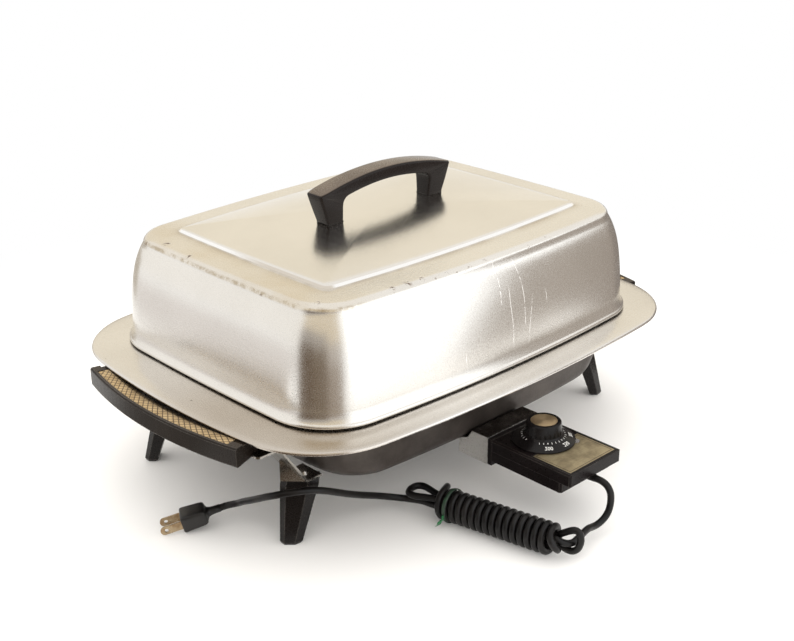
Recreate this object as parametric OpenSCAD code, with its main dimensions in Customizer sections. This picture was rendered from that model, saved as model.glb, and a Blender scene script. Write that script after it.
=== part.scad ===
/*
 Electric skillet: a rectangular pan with a high-domed lift-off lid, two side
 handles, four splayed legs and a plug-in heat control with its hanked cord.
 Origin: centre of the pan, on the table. +X runs along the long side, -Y is
 the side that the heat control plugs into, +Z is up. Sizes are millimetres.
*/

/* [Pan] */
// Length of the rim along X
rim_l = 440; // [430:1:450]
// Width of the rim along Y
rim_w = 335.4; // [325:0.1:345]
// Corner radius of the rim
rim_r = 74.5; // [60:0.5:85]
// Radius of the bow in the two long sides of the rim
side_bow = 1369; // [1000:1:3000]
// Radius of the bow in the two short sides of the rim
end_bow = 795; // [600:1:2000]
// Height of the rim's top above the table
rim_h = 99.4; // [96:0.1:104]
// Thickness of the rim
rim_t = 3; // [2:0.1:4]
// Depth from the rim's top to the underside of the pan
pan_depth = 58; // [52:0.5:60]
// Length of the flat floor outline, outside
floor_l = 298; // [280:1:310]
// Width of the flat floor outline, outside
floor_w = 252; // [240:1:260]
// Corner radius of the floor outline
floor_r = 40; // [30:1:60]
// Radius of the edge between floor and wall
floor_edge = 12; // [8:0.5:16]
// Wall thickness of the pan
pan_wall = 3.5; // [2.5:0.1:4.5]

/* [Lid] */
// Length of the lid's lower edge along X
lid_l = 368.4; // [350:0.1:376]
// Width of the lid's lower edge along Y
lid_w = 284; // [270:0.1:290]
// Corner radius of the lid's lower edge
lid_r = 52.2; // [50:0.1:60]
// Radius of the bow in the lid's long sides
lid_side_bow = 1508; // [1000:1:3000]
// Radius of the bow in the lid's short sides
lid_end_bow = 2664; // [1500:1:4000]
// Height of the lid from the rim to the flat border of its top
lid_h = 87.1; // [70:0.1:110]
// How far the wall leans inward in a straight line
lid_lean = 8; // [4:0.5:12]
// How far the wall swells inward towards its top
lid_swell = 6; // [3:0.5:10]
// Radius of the lid's top edge
lid_edge = 6; // [3:0.5:8]
// Thickness of the lid sheet
lid_t = 1.5; // [1:0.1:2]
// Distance of the raised panel from the lid's lower edge
panel_in = 46.7; // [40:0.1:48]
// Height of the raised panel's step
panel_rise = 3; // [1:0.1:5]
// Rise of the panel from its edge to its centre
panel_crown = 5.5; // [0:0.5:10]

/* [Lid handle] */
// Overall length of the lid's handle
grip_l = 142; // [120:1:160]
// Width of the grip
grip_w = 20; // [16:0.5:26]
// Height of the grip's crown above the panel's centre
grip_h = 38; // [34:0.5:50]
// How far the ends of the grip drop below its crown
grip_drop = 10.5; // [6:0.5:14]
// Thickness of the grip at its middle
grip_t = 11; // [8:0.5:14]
// Distance between the two posts' centres
post_span = 109; // [90:1:120]
// Length of a post's foot along X
post_l = 16; // [12:0.5:20]
// Width of a post's foot along Y
post_w = 14; // [10:0.5:18]
// Diameter of a lid screw's shank
lid_screw_d = 4; // [3:0.5:5]
// Diameter of a lid screw's head
lid_screw_head = 9; // [7:0.5:11]

/* [Side handles] */
// Radius of the handle's outer face, seen from above
bail_r = 366; // [340:1:420]
// How far the handle stands out beyond the rim
bail_out = 17; // [14:0.5:22]
// Depth of the handle from its outer face inward
bail_d = 37; // [34:0.5:38]
// Width of the handle between its outer corners
bail_w = 185.8; // [178:0.1:194]
// Thickness of the handle
bail_t = 12; // [11:0.5:14]
// Clearance under the rim
bail_gap = 0.3; // [0.1:0.05:0.6]
// Width of the gold insert
insert_w = 9; // [6:0.5:11]
// Thickness of the gold insert
insert_t = 0.8; // [0.5:0.1:1.2]
// Margin of black plastic outside the insert
insert_margin = 3; // [2:0.5:5]
// Length of the insert between its ends
insert_l = 165.8; // [140:0.1:168]
// Diameter of a handle screw
bail_screw_d = 4; // [3:0.5:5]

/* [Legs] */
// Distance between the feet along X, centre to centre
foot_span_x = 356.8; // [340:0.1:370]
// Distance between the feet along Y, centre to centre
foot_span_y = 180.2; // [170:0.1:190]
// Height of the plastic foot
foot_h = 47.6; // [42:0.1:52]
// Width of the foot at its top
foot_top_w = 27.3; // [22:0.1:32]
// Thickness of the foot at its top
foot_top_t = 15; // [12:0.5:20]
// Width of the foot at the table
foot_low_w = 16.8; // [12:0.1:22]
// Thickness of the foot at the table
foot_low_t = 11; // [9:0.5:16]
// How far the foot's top lies inward along X
foot_lean_x = 14.6; // [10:0.1:18]
// How far the foot's top lies inward along Y
foot_lean_y = 4.6; // [0:0.1:10]
// Thickness of the steel leg bracket
strap_t = 1.6; // [1.2:0.1:2.5]
// Width of the bracket's upper flange along Y
strap_w = 30; // [26:0.5:34]

/* [Heat control] */
// Width of the control
ctrl_w = 59; // [56:0.5:64]
// Height of the control's top above the table
ctrl_top = 51.8; // [50:0.1:53]
// Distance from the pan's centre to the control's outer end
ctrl_reach = 229; // [222:0.5:240]
// Height of the cover's sides
cover_h = 9.6; // [8:0.1:12]
// Height of the whole housing
ctrl_h = 18.3; // [17:0.1:20]
// Wall thickness of the housing
ctrl_wall = 2.4; // [1.8:0.1:3]
// How far the base stops short of the cover at its outer end
base_short = 9; // [4:0.5:12]
// Width of the aluminium shroud
shroud_w = 59; // [56:0.5:64]
// Height of the shroud's underside above the table
shroud_low = 29.5; // [28:0.5:31]
// Height of the shroud's top above the table
shroud_top = 52.5; // [51:0.1:54]
// Distance from the pan's centre to the shroud's mouth
shroud_reach = 147.8; // [144:0.1:152]
// Thickness of the shroud's walls
shroud_t = 1.5; // [1:0.1:2]
// Distance between the two terminal pins
pin_span = 24; // [20:0.5:30]
// Diameter of a terminal pin
pin_d = 4.8; // [4:0.1:6]
// Diameter of the heating element's sheath
element_d = 7.2; // [6:0.1:8]
// Diameter of the sensor probe
probe_d = 6.4; // [5:0.1:7]
// Clearance round the probe in its socket
probe_gap = 0.3; // [0.2:0.05:0.4]

/* [Dial] */
// Diameter of the dial's numbered skirt
skirt_d = 49; // [44:0.5:52]
// Height of the sloping skirt
skirt_h = 5; // [3:0.5:7]
// Diameter of the knob at its top
knob_d = 26.6; // [22:0.1:30]
// Height of the knob's top above the cover
knob_h = 16.4; // [14:0.1:20]
// Diameter of the gold cap in the knob
cap_d = 20.6; // [16:0.1:21]
// Diameter of the dial's shaft
shaft_d = 6; // [5:0.1:8]
// Gap between the skirt and the cover
skirt_gap = 0.3; // [0.2:0.05:0.6]
// Diameter of the pilot light's lens
lens_d = 8; // [6:0.1:9]

/* [Cord] */
// Diameter of the cord
cord_d = 5.3; // [5.3:0.1:5.3]
// Gap between neighbouring turns of the hank
cord_gap = 0.5; // [0.5:0.05:0.6]
// Number of turns wound round the hank
hank_turns = 16; // [14:1:16]

/* [Hidden] */
$fn = 48;

// ---- outlines: rounded rectangles whose four sides are shallow arcs ----
// An outline is [half length, half width, corner radius, long-side bow, short-side bow].
side_steps = 2;
corner_steps = 10;
rim_line = [rim_l / 2, rim_w / 2, rim_r, side_bow, end_bow];
floor_line = [floor_l / 2, floor_w / 2, floor_r, side_bow, end_bow];
lid_line = [lid_l / 2, lid_w / 2, lid_r, lid_side_bow, lid_end_bow];

function inset(o, d) = [for (v = o) v - d];
function between(p, q, t) = p * (1 - t) + q * t;
function corner_centre(o) =
    let (
        c1 = [0, o[1] - o[3]],
        c2 = [o[0] - o[4], 0],
        r1 = o[3] - o[2],
        r2 = o[4] - o[2],
        v = c2 - c1,
        d = norm(v),
        m = (r1 * r1 - r2 * r2 + d * d) / (2 * d),
        h = sqrt(r1 * r1 - m * m)
    )
    c1 + m * v / d + h * [v[1], -v[0]] / d;
function arc(c, r, a0, a1, n) =
    [for (i = [0 : n - 1]) c + r * [cos(a0 + (a1 - a0) * i / n), sin(a0 + (a1 - a0) * i / n)]];
function quarter(o) =
    let (
        c = corner_centre(o),
        a0 = atan2(c[1], c[0] - o[0] + o[4]),
        a1 = atan2(c[1] - o[1] + o[3], c[0])
    )
    concat(
        arc([o[0] - o[4], 0], o[4], 0, a0, side_steps),
        arc(c, o[2], a0, a1, corner_steps),
        arc([0, o[1] - o[3]], o[3], a1, 90, side_steps),
        [[0, o[1]]]
    );
function outline(o) =
    let (q = quarter(o), n = len(q) - 1)
    concat(
        [for (i = [0 : n - 1]) q[i]],
        [for (i = [n : -1 : 1]) [-q[i][0], q[i][1]]],
        [for (i = [0 : n - 1]) -q[i]],
        [for (i = [n : -1 : 1]) [q[i][0], -q[i][1]]]
    );
function ring(o, z) = [for (p = outline(o)) [p[0], p[1], z]];
function small_ring(o, s, z) = [for (p = outline(o)) [p[0] * s, p[1] * s, z]];

// A closed skin through a stack of rings, with a point at each end of the stack
module skin(rings, z_start, z_end) {
    n = len(rings[0]);
    k = len(rings);
    points = concat([for (r = rings) each r], [[0, 0, z_start], [0, 0, z_end]]);
    sides = [
        for (i = [0 : k - 2], j = [0 : n - 1])
            let (a = i * n + j, b = i * n + (j + 1) % n)
            each [[a, a + n, b + n], [a, b + n, b]]
    ];
    caps = [
        for (j = [0 : n - 1])
            let (j1 = (j + 1) % n)
            each [[k * n, j, j1], [k * n + 1, (k - 1) * n + j1, (k - 1) * n + j]]
    ];
    polyhedron(points, concat(sides, caps));
}

// ---- tubes swept along a list of points ----
function unit(v) = v / norm(v);
function headings(p) =
    [for (i = [0 : len(p) - 1]) unit(p[min(i + 1, len(p) - 1)] - p[max(i - 1, 0)])];
function flatten(u, t) = unit(u - (u * t) * t);
function sides_of(t) =
    [for (i = 0, u = flatten([0.3, 0.2, 0.93], t[0]); i < len(t);
        u = flatten(u, t[min(i + 1, len(t) - 1)]), i = i + 1) u];
module tube(path, d, sides) {
    t = headings(path);
    u = sides_of(t);
    k = len(path);
    points = [
        for (i = [0 : k - 1], j = [0 : sides - 1])
            let (a = 360 * j / sides)
            path[i] + d / 2 * (cos(a) * u[i] + sin(a) * cross(t[i], u[i]))
    ];
    walls = [
        for (i = [0 : k - 2], j = [0 : sides - 1])
            let (a = i * sides + j, b = i * sides + (j + 1) % sides)
            each [[a, a + sides, b + sides], [a, b + sides, b]]
    ];
    ends = [
        [for (j = [0 : sides - 1]) j],
        [for (j = [sides - 1 : -1 : 0]) (k - 1) * sides + j]
    ];
    polyhedron(points, concat(walls, ends));
}

// ---- pan ----
rim_low = rim_h - rim_t;
floor_low = rim_h - pan_depth;
floor_top = floor_low + pan_wall;
wall_inset = 7;
top_line = inset(lid_line, wall_inset);
throat_r = 5;
mouth_r = 4;
roll_w = 12;
roll_drop = 1.2;
roll_under = 1.5;
roll_edge = 1.2;
edge_in = floor_edge - pan_wall;

function wall_line(z) = between(floor_line, top_line, (z - floor_low) / (rim_low - floor_low));
pan_rings = concat(
    [for (a = [0 : 22.5 : 90])
        let (z = floor_low + floor_edge * (1 - cos(a)))
        ring(inset(wall_line(z), floor_edge * (1 - sin(a))), z)],
    [for (a = [0 : 30 : 90])
        let (z = rim_low - throat_r * (1 - sin(a)))
        ring(inset(wall_line(z), -throat_r * (1 - cos(a))), z)],
    [
        ring(inset(rim_line, roll_w), rim_low),
        ring(inset(rim_line, roll_under), rim_low - roll_drop),
        ring(rim_line, rim_low - roll_drop + rim_t * 0.4),
        ring(inset(rim_line, roll_edge), rim_h - roll_drop),
        ring(inset(rim_line, roll_w), rim_h)
    ],
    [for (a = [0 : 30 : 90])
        let (z = rim_h - mouth_r * (1 - cos(a)))
        ring(inset(wall_line(z), pan_wall - mouth_r * (1 - sin(a))), z)],
    [for (a = [90 : -22.5 : 0])
        let (z = floor_top + edge_in * (1 - cos(a)))
        ring(inset(wall_line(z), pan_wall + edge_in * (1 - sin(a))), z)]
);
module pan() {
    color("dimgray") skin(pan_rings, floor_low, floor_top);
}

// ---- heating element under the pan, with its two cold ends at the front ----
element_x = 104;
element_y = 84;
element_r = 32;
element_gap = 0.2;
element_z = floor_low - element_d / 2 - element_gap;
end_bend = 14;
end_run = 6;
shroud_back = -117.6;
element_front = shroud_back - 0.4;
function corner_arc(cx, cy, r, a0, a1, n) =
    [for (i = [0 : n]) [cx + r * cos(a0 + (a1 - a0) * i / n), cy + r * sin(a0 + (a1 - a0) * i / n), element_z]];
half_loop = concat(
    [[pin_span / 2, element_front, element_z], [pin_span / 2, -element_y - end_bend - end_run, element_z]],
    corner_arc(pin_span / 2 + end_bend, -element_y - end_bend, end_bend, 180, 90, 4),
    corner_arc(element_x - element_r, -element_y + element_r, element_r, -90, 0, 6),
    [[element_x, 0, element_z]],
    corner_arc(element_x - element_r, element_y - element_r, element_r, 0, 90, 6)
);
other_half = [for (i = [len(half_loop) - 1 : -1 : 0]) [-half_loop[i][0], half_loop[i][1], half_loop[i][2]]];
module heating_element() {
    color("dimgray") tube(concat(half_loop, other_half), element_d, 8);
}

pin_short = 6.8;
pin_out = shroud_reach - pin_short;
module terminal_pins() {
    color("silver")
    for (x = [-pin_span / 2, pin_span / 2])
        translate([x, element_front, element_z]) rotate([90, 0, 0]) cylinder(d = pin_d, h = pin_out + element_front);
}

// ---- socket that the sensor probe slides into ----
probe_z = floor_low - probe_d * 0.75;
socket_d = 12;
socket_front = shroud_back;
socket_back = -60;
socket_end = 4;
module probe_socket() {
    color("dimgray")
    difference() {
        intersection() {
            translate([0, socket_back, probe_z]) rotate([90, 0, 0])
                cylinder(d = socket_d, h = socket_back - socket_front);
            translate([-socket_d, socket_front - 1, floor_low - socket_d])
                cube([2 * socket_d, socket_back - socket_front + 2, socket_d]);
        }
        translate([0, socket_back - socket_end, probe_z]) rotate([90, 0, 0])
            cylinder(d = probe_d + 2 * probe_gap, h = socket_back - socket_front);
    }
}

// ---- aluminium shroud round the terminals ----
shroud_slope = shroud_back - 13.4;
shroud_notch = [4.5, 10];
sheath_hole_gap = 0.6;
probe_hole_gap = 4;
rivet_x = 22;
rivet_in = 3.4;
rivet_y = shroud_back - rivet_in;
rivet_d = 4;
rivet_head = 7;
rivet_head_t = 1;
rivet_rise = 0.8;
rivet_hole_gap = 0.1;
module shroud() {
    color("silver")
    difference() {
        translate([shroud_w / 2, 0, 0]) rotate([0, -90, 0])
            linear_extrude(shroud_w)
                polygon([
                    [shroud_low, -shroud_reach], [shroud_top, -shroud_reach], [shroud_top, shroud_slope],
                    [floor_low + shroud_notch[0], shroud_back - shroud_notch[1]],
                    [floor_low, shroud_back], [shroud_low, shroud_back]
                ]);
        translate([-shroud_w / 2 + shroud_t, -shroud_reach - 1, shroud_low + shroud_t])
            cube([shroud_w - 2 * shroud_t, shroud_reach + shroud_back + 1 - shroud_t, shroud_top - shroud_low - 2 * shroud_t]);
        for (x = [-pin_span / 2, pin_span / 2])
            translate([x, shroud_back + 1, element_z]) rotate([90, 0, 0]) cylinder(d = element_d + sheath_hole_gap, h = 4);
        translate([0, shroud_back + 1, probe_z]) rotate([90, 0, 0]) cylinder(d = probe_d + probe_hole_gap, h = 4);
        for (x = [-rivet_x, rivet_x])
            translate([x, rivet_y, shroud_low - 1]) cylinder(d = rivet_d + rivet_hole_gap, h = floor_low);
    }
}
module shroud_rivets() {
    color("silver")
    for (x = [-rivet_x, rivet_x])
        translate([x, rivet_y, shroud_low - rivet_head_t]) {
            cylinder(d = rivet_head, h = rivet_head_t);
            cylinder(d = rivet_d, h = floor_low - shroud_low + rivet_head_t + rivet_rise);
        }
}

// ---- side handles: one arc-shaped bar under each end of the rim ----
bail_top = rim_low - bail_gap;
bail_low = bail_top - bail_t;
bail_reach = rim_l / 2 + bail_out;
bail_cx = bail_r - bail_reach;
bail_in = bail_r - bail_d;
bail_half = asin(bail_w / 2 / bail_r);
bail_chamfer = 1.2;
scoop_depth = 6;
insert_out = bail_r - insert_margin;
insert_in = insert_out - insert_w;
insert_seat = 1.2;
insert_half = asin(insert_l / 2 / insert_out);
insert_gap = 0.2;
scoop_half = insert_half - 1.2;
scoop_flat = 13;
scoop_lip = [3, 1];
bail_screw_gap = 0.4;
screw_in = 6;
screw_r = bail_in + screw_in;
screw_y = 73.1;
screw_half = asin(screw_y / screw_r);
boss_d = 12;
boss_h = 5.5;
boss_gap = 0.3;
rim_relief = roll_drop + 0.2;
relief_in = 14;
relief_past = 9;
rim_cut_r = rim_l / 2 + bail_cx + relief_past;
screw_tip = 2;
screw_head = [6, 8, 2.4];

module arc_bar(half, profile) {
    rotate([0, 0, -half]) rotate_extrude(angle = 2 * half, $fn = 96) polygon(profile);
}
module on_end(side) {
    mirror([side < 0 ? 1 : 0, 0, 0]) translate([-bail_cx, 0, 0]) children();
}
module side_handle(side) {
    on_end(side)
    difference() {
        arc_bar(bail_half, [
            [bail_in, bail_low + bail_chamfer], [bail_in + bail_chamfer, bail_low],
            [bail_r - bail_chamfer, bail_low], [bail_r, bail_low + bail_chamfer],
            [bail_r, bail_top - bail_chamfer], [bail_r - bail_chamfer, bail_top],
            [bail_in + bail_chamfer, bail_top], [bail_in, bail_top - bail_chamfer]
        ]);
        arc_bar(insert_half, [
            [insert_in, bail_top - insert_seat], [insert_out, bail_top - insert_seat],
            [insert_out, bail_top + 1], [insert_in, bail_top + 1]
        ]);
        arc_bar(scoop_half, [
            [bail_in - 1, bail_top - scoop_depth], [bail_in + scoop_flat, bail_top - scoop_depth],
            [insert_in - scoop_lip[0], bail_top - insert_seat - scoop_lip[1]],
            [insert_in + 0.1, bail_top - insert_seat],
            [insert_in + 0.1, bail_top + 1], [bail_in - 1, bail_top + 1]
        ]);
        arc_bar(bail_half + 1, [
            [bail_in + relief_in, bail_top - rim_relief], [rim_cut_r, bail_top - rim_relief],
            [rim_cut_r, bail_top + 1], [bail_in + relief_in, bail_top + 1]
        ]);
        for (a = [-screw_half, screw_half])
            rotate([0, 0, a]) translate([screw_r, 0, 0]) {
                translate([0, 0, bail_low - 1]) cylinder(d = bail_screw_d + bail_screw_gap, h = bail_t + 2);
                translate([0, 0, bail_top - boss_h]) cylinder(d = boss_d + 2 * boss_gap, h = boss_h + 1);
            }
    }
}
module handle_left() {
    color("#2a2422") side_handle(-1);
}
module handle_right() {
    color("#2a2422") side_handle(1);
}
module side_insert(side) {
    on_end(side)
    arc_bar(insert_half - 0.05, [
        [insert_in + insert_gap, bail_top - insert_seat], [insert_out - insert_gap, bail_top - insert_seat],
        [insert_out - insert_gap, bail_top - insert_seat + insert_t],
        [insert_in + insert_gap, bail_top - insert_seat + insert_t]
    ]);
}
module handle_insert_left() {
    color("#c8a86c") side_insert(-1);
}
module handle_insert_right() {
    color("#c8a86c") side_insert(1);
}

// The four places where a handle and a leg bracket are screwed to the pan
module at_screws() {
    for (side = [-1, 1], a = [-screw_half, screw_half])
        on_end(side) rotate([0, 0, a]) translate([screw_r, 0, 0]) children();
}
module handle_bosses() {
    color("dimgray")
    at_screws()
        difference() {
            translate([0, 0, bail_top - boss_h + boss_gap]) cylinder(d = boss_d, h = boss_h);
            translate([0, 0, bail_top - boss_h - 1]) cylinder(d = bail_screw_d + 0.1, h = boss_h);
        }
}
module handle_screws() {
    color("silver")
    at_screws()
        translate([0, 0, bail_low - strap_t - screw_head[2]]) {
            cylinder(d1 = screw_head[0], d2 = screw_head[1], h = screw_head[2]);
            cylinder(d = bail_screw_d, h = screw_head[2] + strap_t + bail_t - screw_tip);
        }
}

// ---- legs: a bent steel bracket carries each plastic foot ----
strap_top = bail_low;
bracket_out = screw_r * cos(screw_half) - bail_cx;
strap_out = -bracket_out - 11.1;
strap_bend = -bracket_out + 8.9;
strap_low_x = -foot_span_x / 2 + foot_lean_x;
foot_top_y = foot_span_y / 2 - foot_lean_y;
flange_in = 12;
strap_y0 = -screw_y - 22.9;
strap_narrow = 8;
strap_cut = 2;
bend_top = 0.7;
bend_low = [1.2, 2.3];
gusset_l = 20;
gusset_h = 17;
gusset_edge = 1.5;
foot_screw_d = 4;
foot_screw_in = 3;
foot_screw_l = 14;
foot_screw_head = [8, 5, 2.2];
foot_chamfer = 4;
foot_swell = 1;
foot_toe = [3, 2];
bevel_share = 0.3;

module corner_place(sx, sy) {
    mirror([sx > 0 ? 1 : 0, 0, 0]) mirror([0, sy > 0 ? 1 : 0, 0]) children();
}
module bracket(sx, sy) {
    t = strap_t;
    z1 = strap_top;
    z0 = foot_h;
    color("silver")
    corner_place(sx, sy) {
        difference() {
            intersection() {
                translate([0, strap_y0 + strap_w, 0]) rotate([90, 0, 0])
                    linear_extrude(strap_w)
                        polygon([
                            [strap_out, z1], [strap_out, z1 - t], [strap_bend - bend_top, z1 - t],
                            [strap_low_x - bend_low[1], z0], [strap_low_x + flange_in, z0],
                            [strap_low_x + flange_in, z0 + t], [strap_low_x - bend_low[0], z0 + t],
                            [strap_bend, z1]
                        ]);
                linear_extrude(2 * rim_h)
                    polygon([
                        [strap_out, strap_y0 + strap_cut], [strap_out + strap_cut, strap_y0],
                        [strap_low_x + flange_in, strap_y0],
                        [strap_low_x + flange_in, strap_y0 + strap_w - strap_narrow],
                        [strap_low_x - 4, strap_y0 + strap_w - strap_narrow],
                        [strap_bend, strap_y0 + strap_w], [strap_out, strap_y0 + strap_w]
                    ]);
            }
            translate([-bracket_out, -screw_y, z1 - 3 * t]) cylinder(d = bail_screw_d + bail_screw_gap, h = 5 * t);
            translate([strap_low_x + foot_screw_in, -foot_top_y, z0 - t])
                cylinder(d = foot_screw_d + bail_screw_gap, h = 5 * t);
        }
        translate([strap_low_x - 1, strap_y0 + 0.8, z0]) rotate([90, 0, 135])
            linear_extrude(t)
                polygon([[0, 0], [gusset_l, 0], [gusset_l, gusset_h], [gusset_l - gusset_edge, gusset_h], [0, t]]);
    }
}
module foot(sx, sy) {
    color("#1f1a18")
    corner_place(sx, sy)
        difference() {
            hull() {
                foot_slab([strap_low_x, -foot_top_y, foot_h - 1], foot_top_w, foot_top_t, 1);
                foot_slab([strap_low_x - 1, -foot_top_y - 0.3, foot_h - foot_chamfer - 1],
                    foot_top_w + foot_swell, foot_top_t + foot_swell, 1);
                foot_slab([-foot_span_x / 2 + 0.6, -foot_span_y / 2 + 0.2, foot_toe[1]], foot_low_w, foot_low_t, 0.5);
                foot_slab([-foot_span_x / 2, -foot_span_y / 2, 0], foot_low_w - foot_toe[0], foot_low_t - foot_toe[0], 0.5);
            }
            translate([strap_low_x + foot_screw_in, -foot_top_y, foot_h - foot_screw_l - 1])
                cylinder(d = foot_screw_d + 0.1, h = foot_screw_l + 6);
        }
}
// A slice of the foot: its broad face looks outward at 45 degrees, with bevelled corners
module foot_slab(at, w, t, h) {
    bevel = t * bevel_share;
    translate(at) rotate([0, 0, -45])
        linear_extrude(h)
            polygon([
                [-w / 2, t / 2], [-w / 2, -t / 2 + bevel], [-w / 2 + bevel, -t / 2],
                [w / 2 - 1.6 * bevel, -t / 2], [w / 2, -t / 2 + 1.2 * bevel], [w / 2, t / 2]
            ]);
}
module foot_screws() {
    color("silver")
    for (sx = [-1, 1], sy = [-1, 1])
        corner_place(sx, sy)
            translate([strap_low_x + foot_screw_in, -foot_top_y, foot_h + strap_t]) {
                cylinder(d1 = foot_screw_head[0], d2 = foot_screw_head[1], h = foot_screw_head[2]);
                translate([0, 0, -foot_screw_l]) cylinder(d = foot_screw_d, h = foot_screw_l);
            }
}
module bracket_front_left() { bracket(-1, -1); }
module bracket_front_right() { bracket(1, -1); }
module bracket_back_left() { bracket(-1, 1); }
module bracket_back_right() { bracket(1, 1); }
module foot_front_left() { foot(-1, -1); }
module foot_front_right() { foot(1, -1); }
module foot_back_left() { foot(-1, 1); }
module foot_back_right() { foot(1, 1); }

// ---- lid: a deep dome with a raised, crowned panel on top ----
seat_gap = 0.3;
lip_low = 2.4;
lip_h = 1.5;
lip_out = [0.8, 1.2, 0.6];
seat_d = [3.6, 6];
edge_slack = 1.15;
lid_low = rim_h + lip_low;
wall_low = lid_low + lip_h;
step_rise = [0.8, 1.2];
step_in = [-3, -1.6, 0.4, 2];
border_z = rim_h + lid_h;
wall_steps = 7;
lid_flare = 2.4;
function lid_lean_at(u) = lid_flare * min(1, u / 0.06) + lid_lean * u * u + lid_swell * pow(u, 6);
wall_top = border_z - lid_edge;
wall_in = lid_lean_at(1);
wall_rise = wall_top - wall_low;
step_top = border_z + panel_rise;
function crown_z(s) = step_top + 1 + panel_crown * (1 - s * s);
panel_line = inset(lid_line, panel_in);
lid_outside = concat(
    [
        ring(inset(lid_line, -lip_out[0]), lid_low),
        ring(inset(lid_line, -lip_out[1]), lid_low + lip_h / 2),
        ring(inset(lid_line, -lip_out[2]), wall_low)
    ],
    [for (k = [1 : wall_steps])
        let (u = 0.06 + 0.94 * pow((k - 1) / (wall_steps - 1), 0.8))
        ring(inset(lid_line, lid_lean_at(u)), wall_low + wall_rise * u)],
    [for (a = [22.5 : 22.5 : 90])
        ring(inset(lid_line, wall_in + lid_edge * (1 - cos(a)) * edge_slack), wall_top + lid_edge * sin(a))],
    [
        ring(inset(panel_line, step_in[0]), border_z + step_rise[0]),
        ring(inset(panel_line, step_in[1]), border_z + step_rise[1]),
        ring(inset(panel_line, step_in[2]), step_top + 0.4),
        ring(inset(panel_line, step_in[3]), step_top + 1)
    ],
    [for (s = [0.85, 0.6, 0.3]) small_ring(inset(panel_line, step_in[3]), s, crown_z(s))]
);
lid_inside = concat(
    [for (s = [0.3, 0.7]) small_ring(panel_line, s, crown_z(s) - lid_t)],
    [
        ring(inset(panel_line, step_in[3] + 0.4), step_top + 0.7 - lid_t),
        ring(inset(panel_line, step_in[1] + 0.6), border_z + 0.6 - lid_t)
    ],
    [for (a = [90 : -30 : 0])
        ring(inset(lid_line, wall_in + lid_t + (lid_edge - lid_t) * (1 - cos(a)) * edge_slack),
            wall_top + (lid_edge - lid_t) * sin(a))],
    [for (u = [0.8, 0.55, 0.3, 0.1])
        ring(inset(lid_line, lid_lean_at(u) + lid_t), wall_low + wall_rise * u)],
    [
        ring(inset(lid_line, seat_d[1]), wall_low),
        ring(inset(lid_line, seat_d[1]), rim_h + seat_gap),
        ring(inset(lid_line, seat_d[0]), rim_h + seat_gap),
        ring(inset(lid_line, seat_d[0]), lid_low)
    ]
);
module lid_shell() {
    color("gainsboro") skin(concat(lid_inside, lid_outside), crown_z(0) - lid_t, crown_z(0));
}

// ---- lid handle: an arched bar on two tapering posts ----
panel_top = crown_z(0);
grip_top = panel_top + grip_h;
grip_end = grip_top - grip_drop;
grip_half = grip_l / 2;
arch_half = post_span / 2 - post_l / 2;
arch_rise = 5.5;
post_foot = panel_top - 0.55;
post_drop = 0.6;
waist_z = 4;
cheek_z = 6;
grip_round = [2, 5];
end_taper = 7;
lid_screw_l = 16;
lid_screw_head_t = 2.6;
lid_screw_under = 0.5;
function bow(x, half, rise) = rise * (1 - (x / half) * (x / half));
module lid_handle() {
    arch_z = grip_top - grip_t - arch_rise;
    under = [for (x = [-arch_half + 4 : (2 * arch_half - 8) / 12 : arch_half - 3.9])
        [x, arch_z + bow(x, arch_half, arch_rise)]];
    over = [for (k = [0 : 14])
        let (x = (grip_half - 3) * (1 - k / 7))
        [x, grip_end + bow(x, grip_half, grip_drop)]];
    post_out = post_span / 2 + post_l / 2;
    color("#3a302c")
    difference() {
        intersection() {
            translate([0, grip_w / 2, 0]) rotate([90, 0, 0])
                linear_extrude(grip_w)
                    polygon(concat(
                        [[-post_out, post_foot - post_drop], [-arch_half, post_foot], [-arch_half - 1.2, arch_z - waist_z]],
                        under,
                        [[arch_half + 1.2, arch_z - waist_z], [arch_half, post_foot], [post_out, post_foot - post_drop],
                            [grip_half, grip_end - 1.5], [grip_half - 1, grip_end + 0.3]],
                        over,
                        [[-grip_half + 1, grip_end + 0.3], [-grip_half, grip_end - 1.5]]
                    ));
            translate([-grip_half, 0, 0]) rotate([90, 0, 90])
                linear_extrude(grip_l)
                    polygon([
                        [-post_w / 2, post_foot - 1], [post_w / 2, post_foot - 1], [grip_w / 2, arch_z + waist_z],
                        [grip_w / 2, grip_end + cheek_z], [grip_w / 2 - grip_round[0], grip_top - 1],
                        [grip_w / 2 - grip_round[1], grip_top + 0.1],
                        [-grip_w / 2 + grip_round[1], grip_top + 0.1], [-grip_w / 2 + grip_round[0], grip_top - 1],
                        [-grip_w / 2, grip_end + cheek_z], [-grip_w / 2, arch_z + waist_z]
                    ]);
            linear_extrude(grip_top + 1)
                polygon([
                    [-grip_half, -grip_w / 4], [-grip_half + end_taper, -grip_w / 2],
                    [grip_half - end_taper, -grip_w / 2], [grip_half, -grip_w / 4],
                    [grip_half, grip_w / 4], [grip_half - end_taper, grip_w / 2],
                    [-grip_half + end_taper, grip_w / 2], [-grip_half, grip_w / 4]
                ]);
        }
        for (x = [-post_span / 2, post_span / 2])
            translate([x, 0, post_foot - 2]) cylinder(d = lid_screw_d + 0.1, h = lid_screw_l + 2);
    }
}
module lid_handle_screws() {
    color("silver")
    for (x = [-post_span / 2, post_span / 2])
        translate([x, 0, post_foot - lid_t - lid_screw_under]) {
            translate([0, 0, -lid_screw_head_t])
                cylinder(d1 = lid_screw_head - 3, d2 = lid_screw_head, h = lid_screw_head_t);
            cylinder(d = lid_screw_d, h = lid_screw_l);
        }
}

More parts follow.
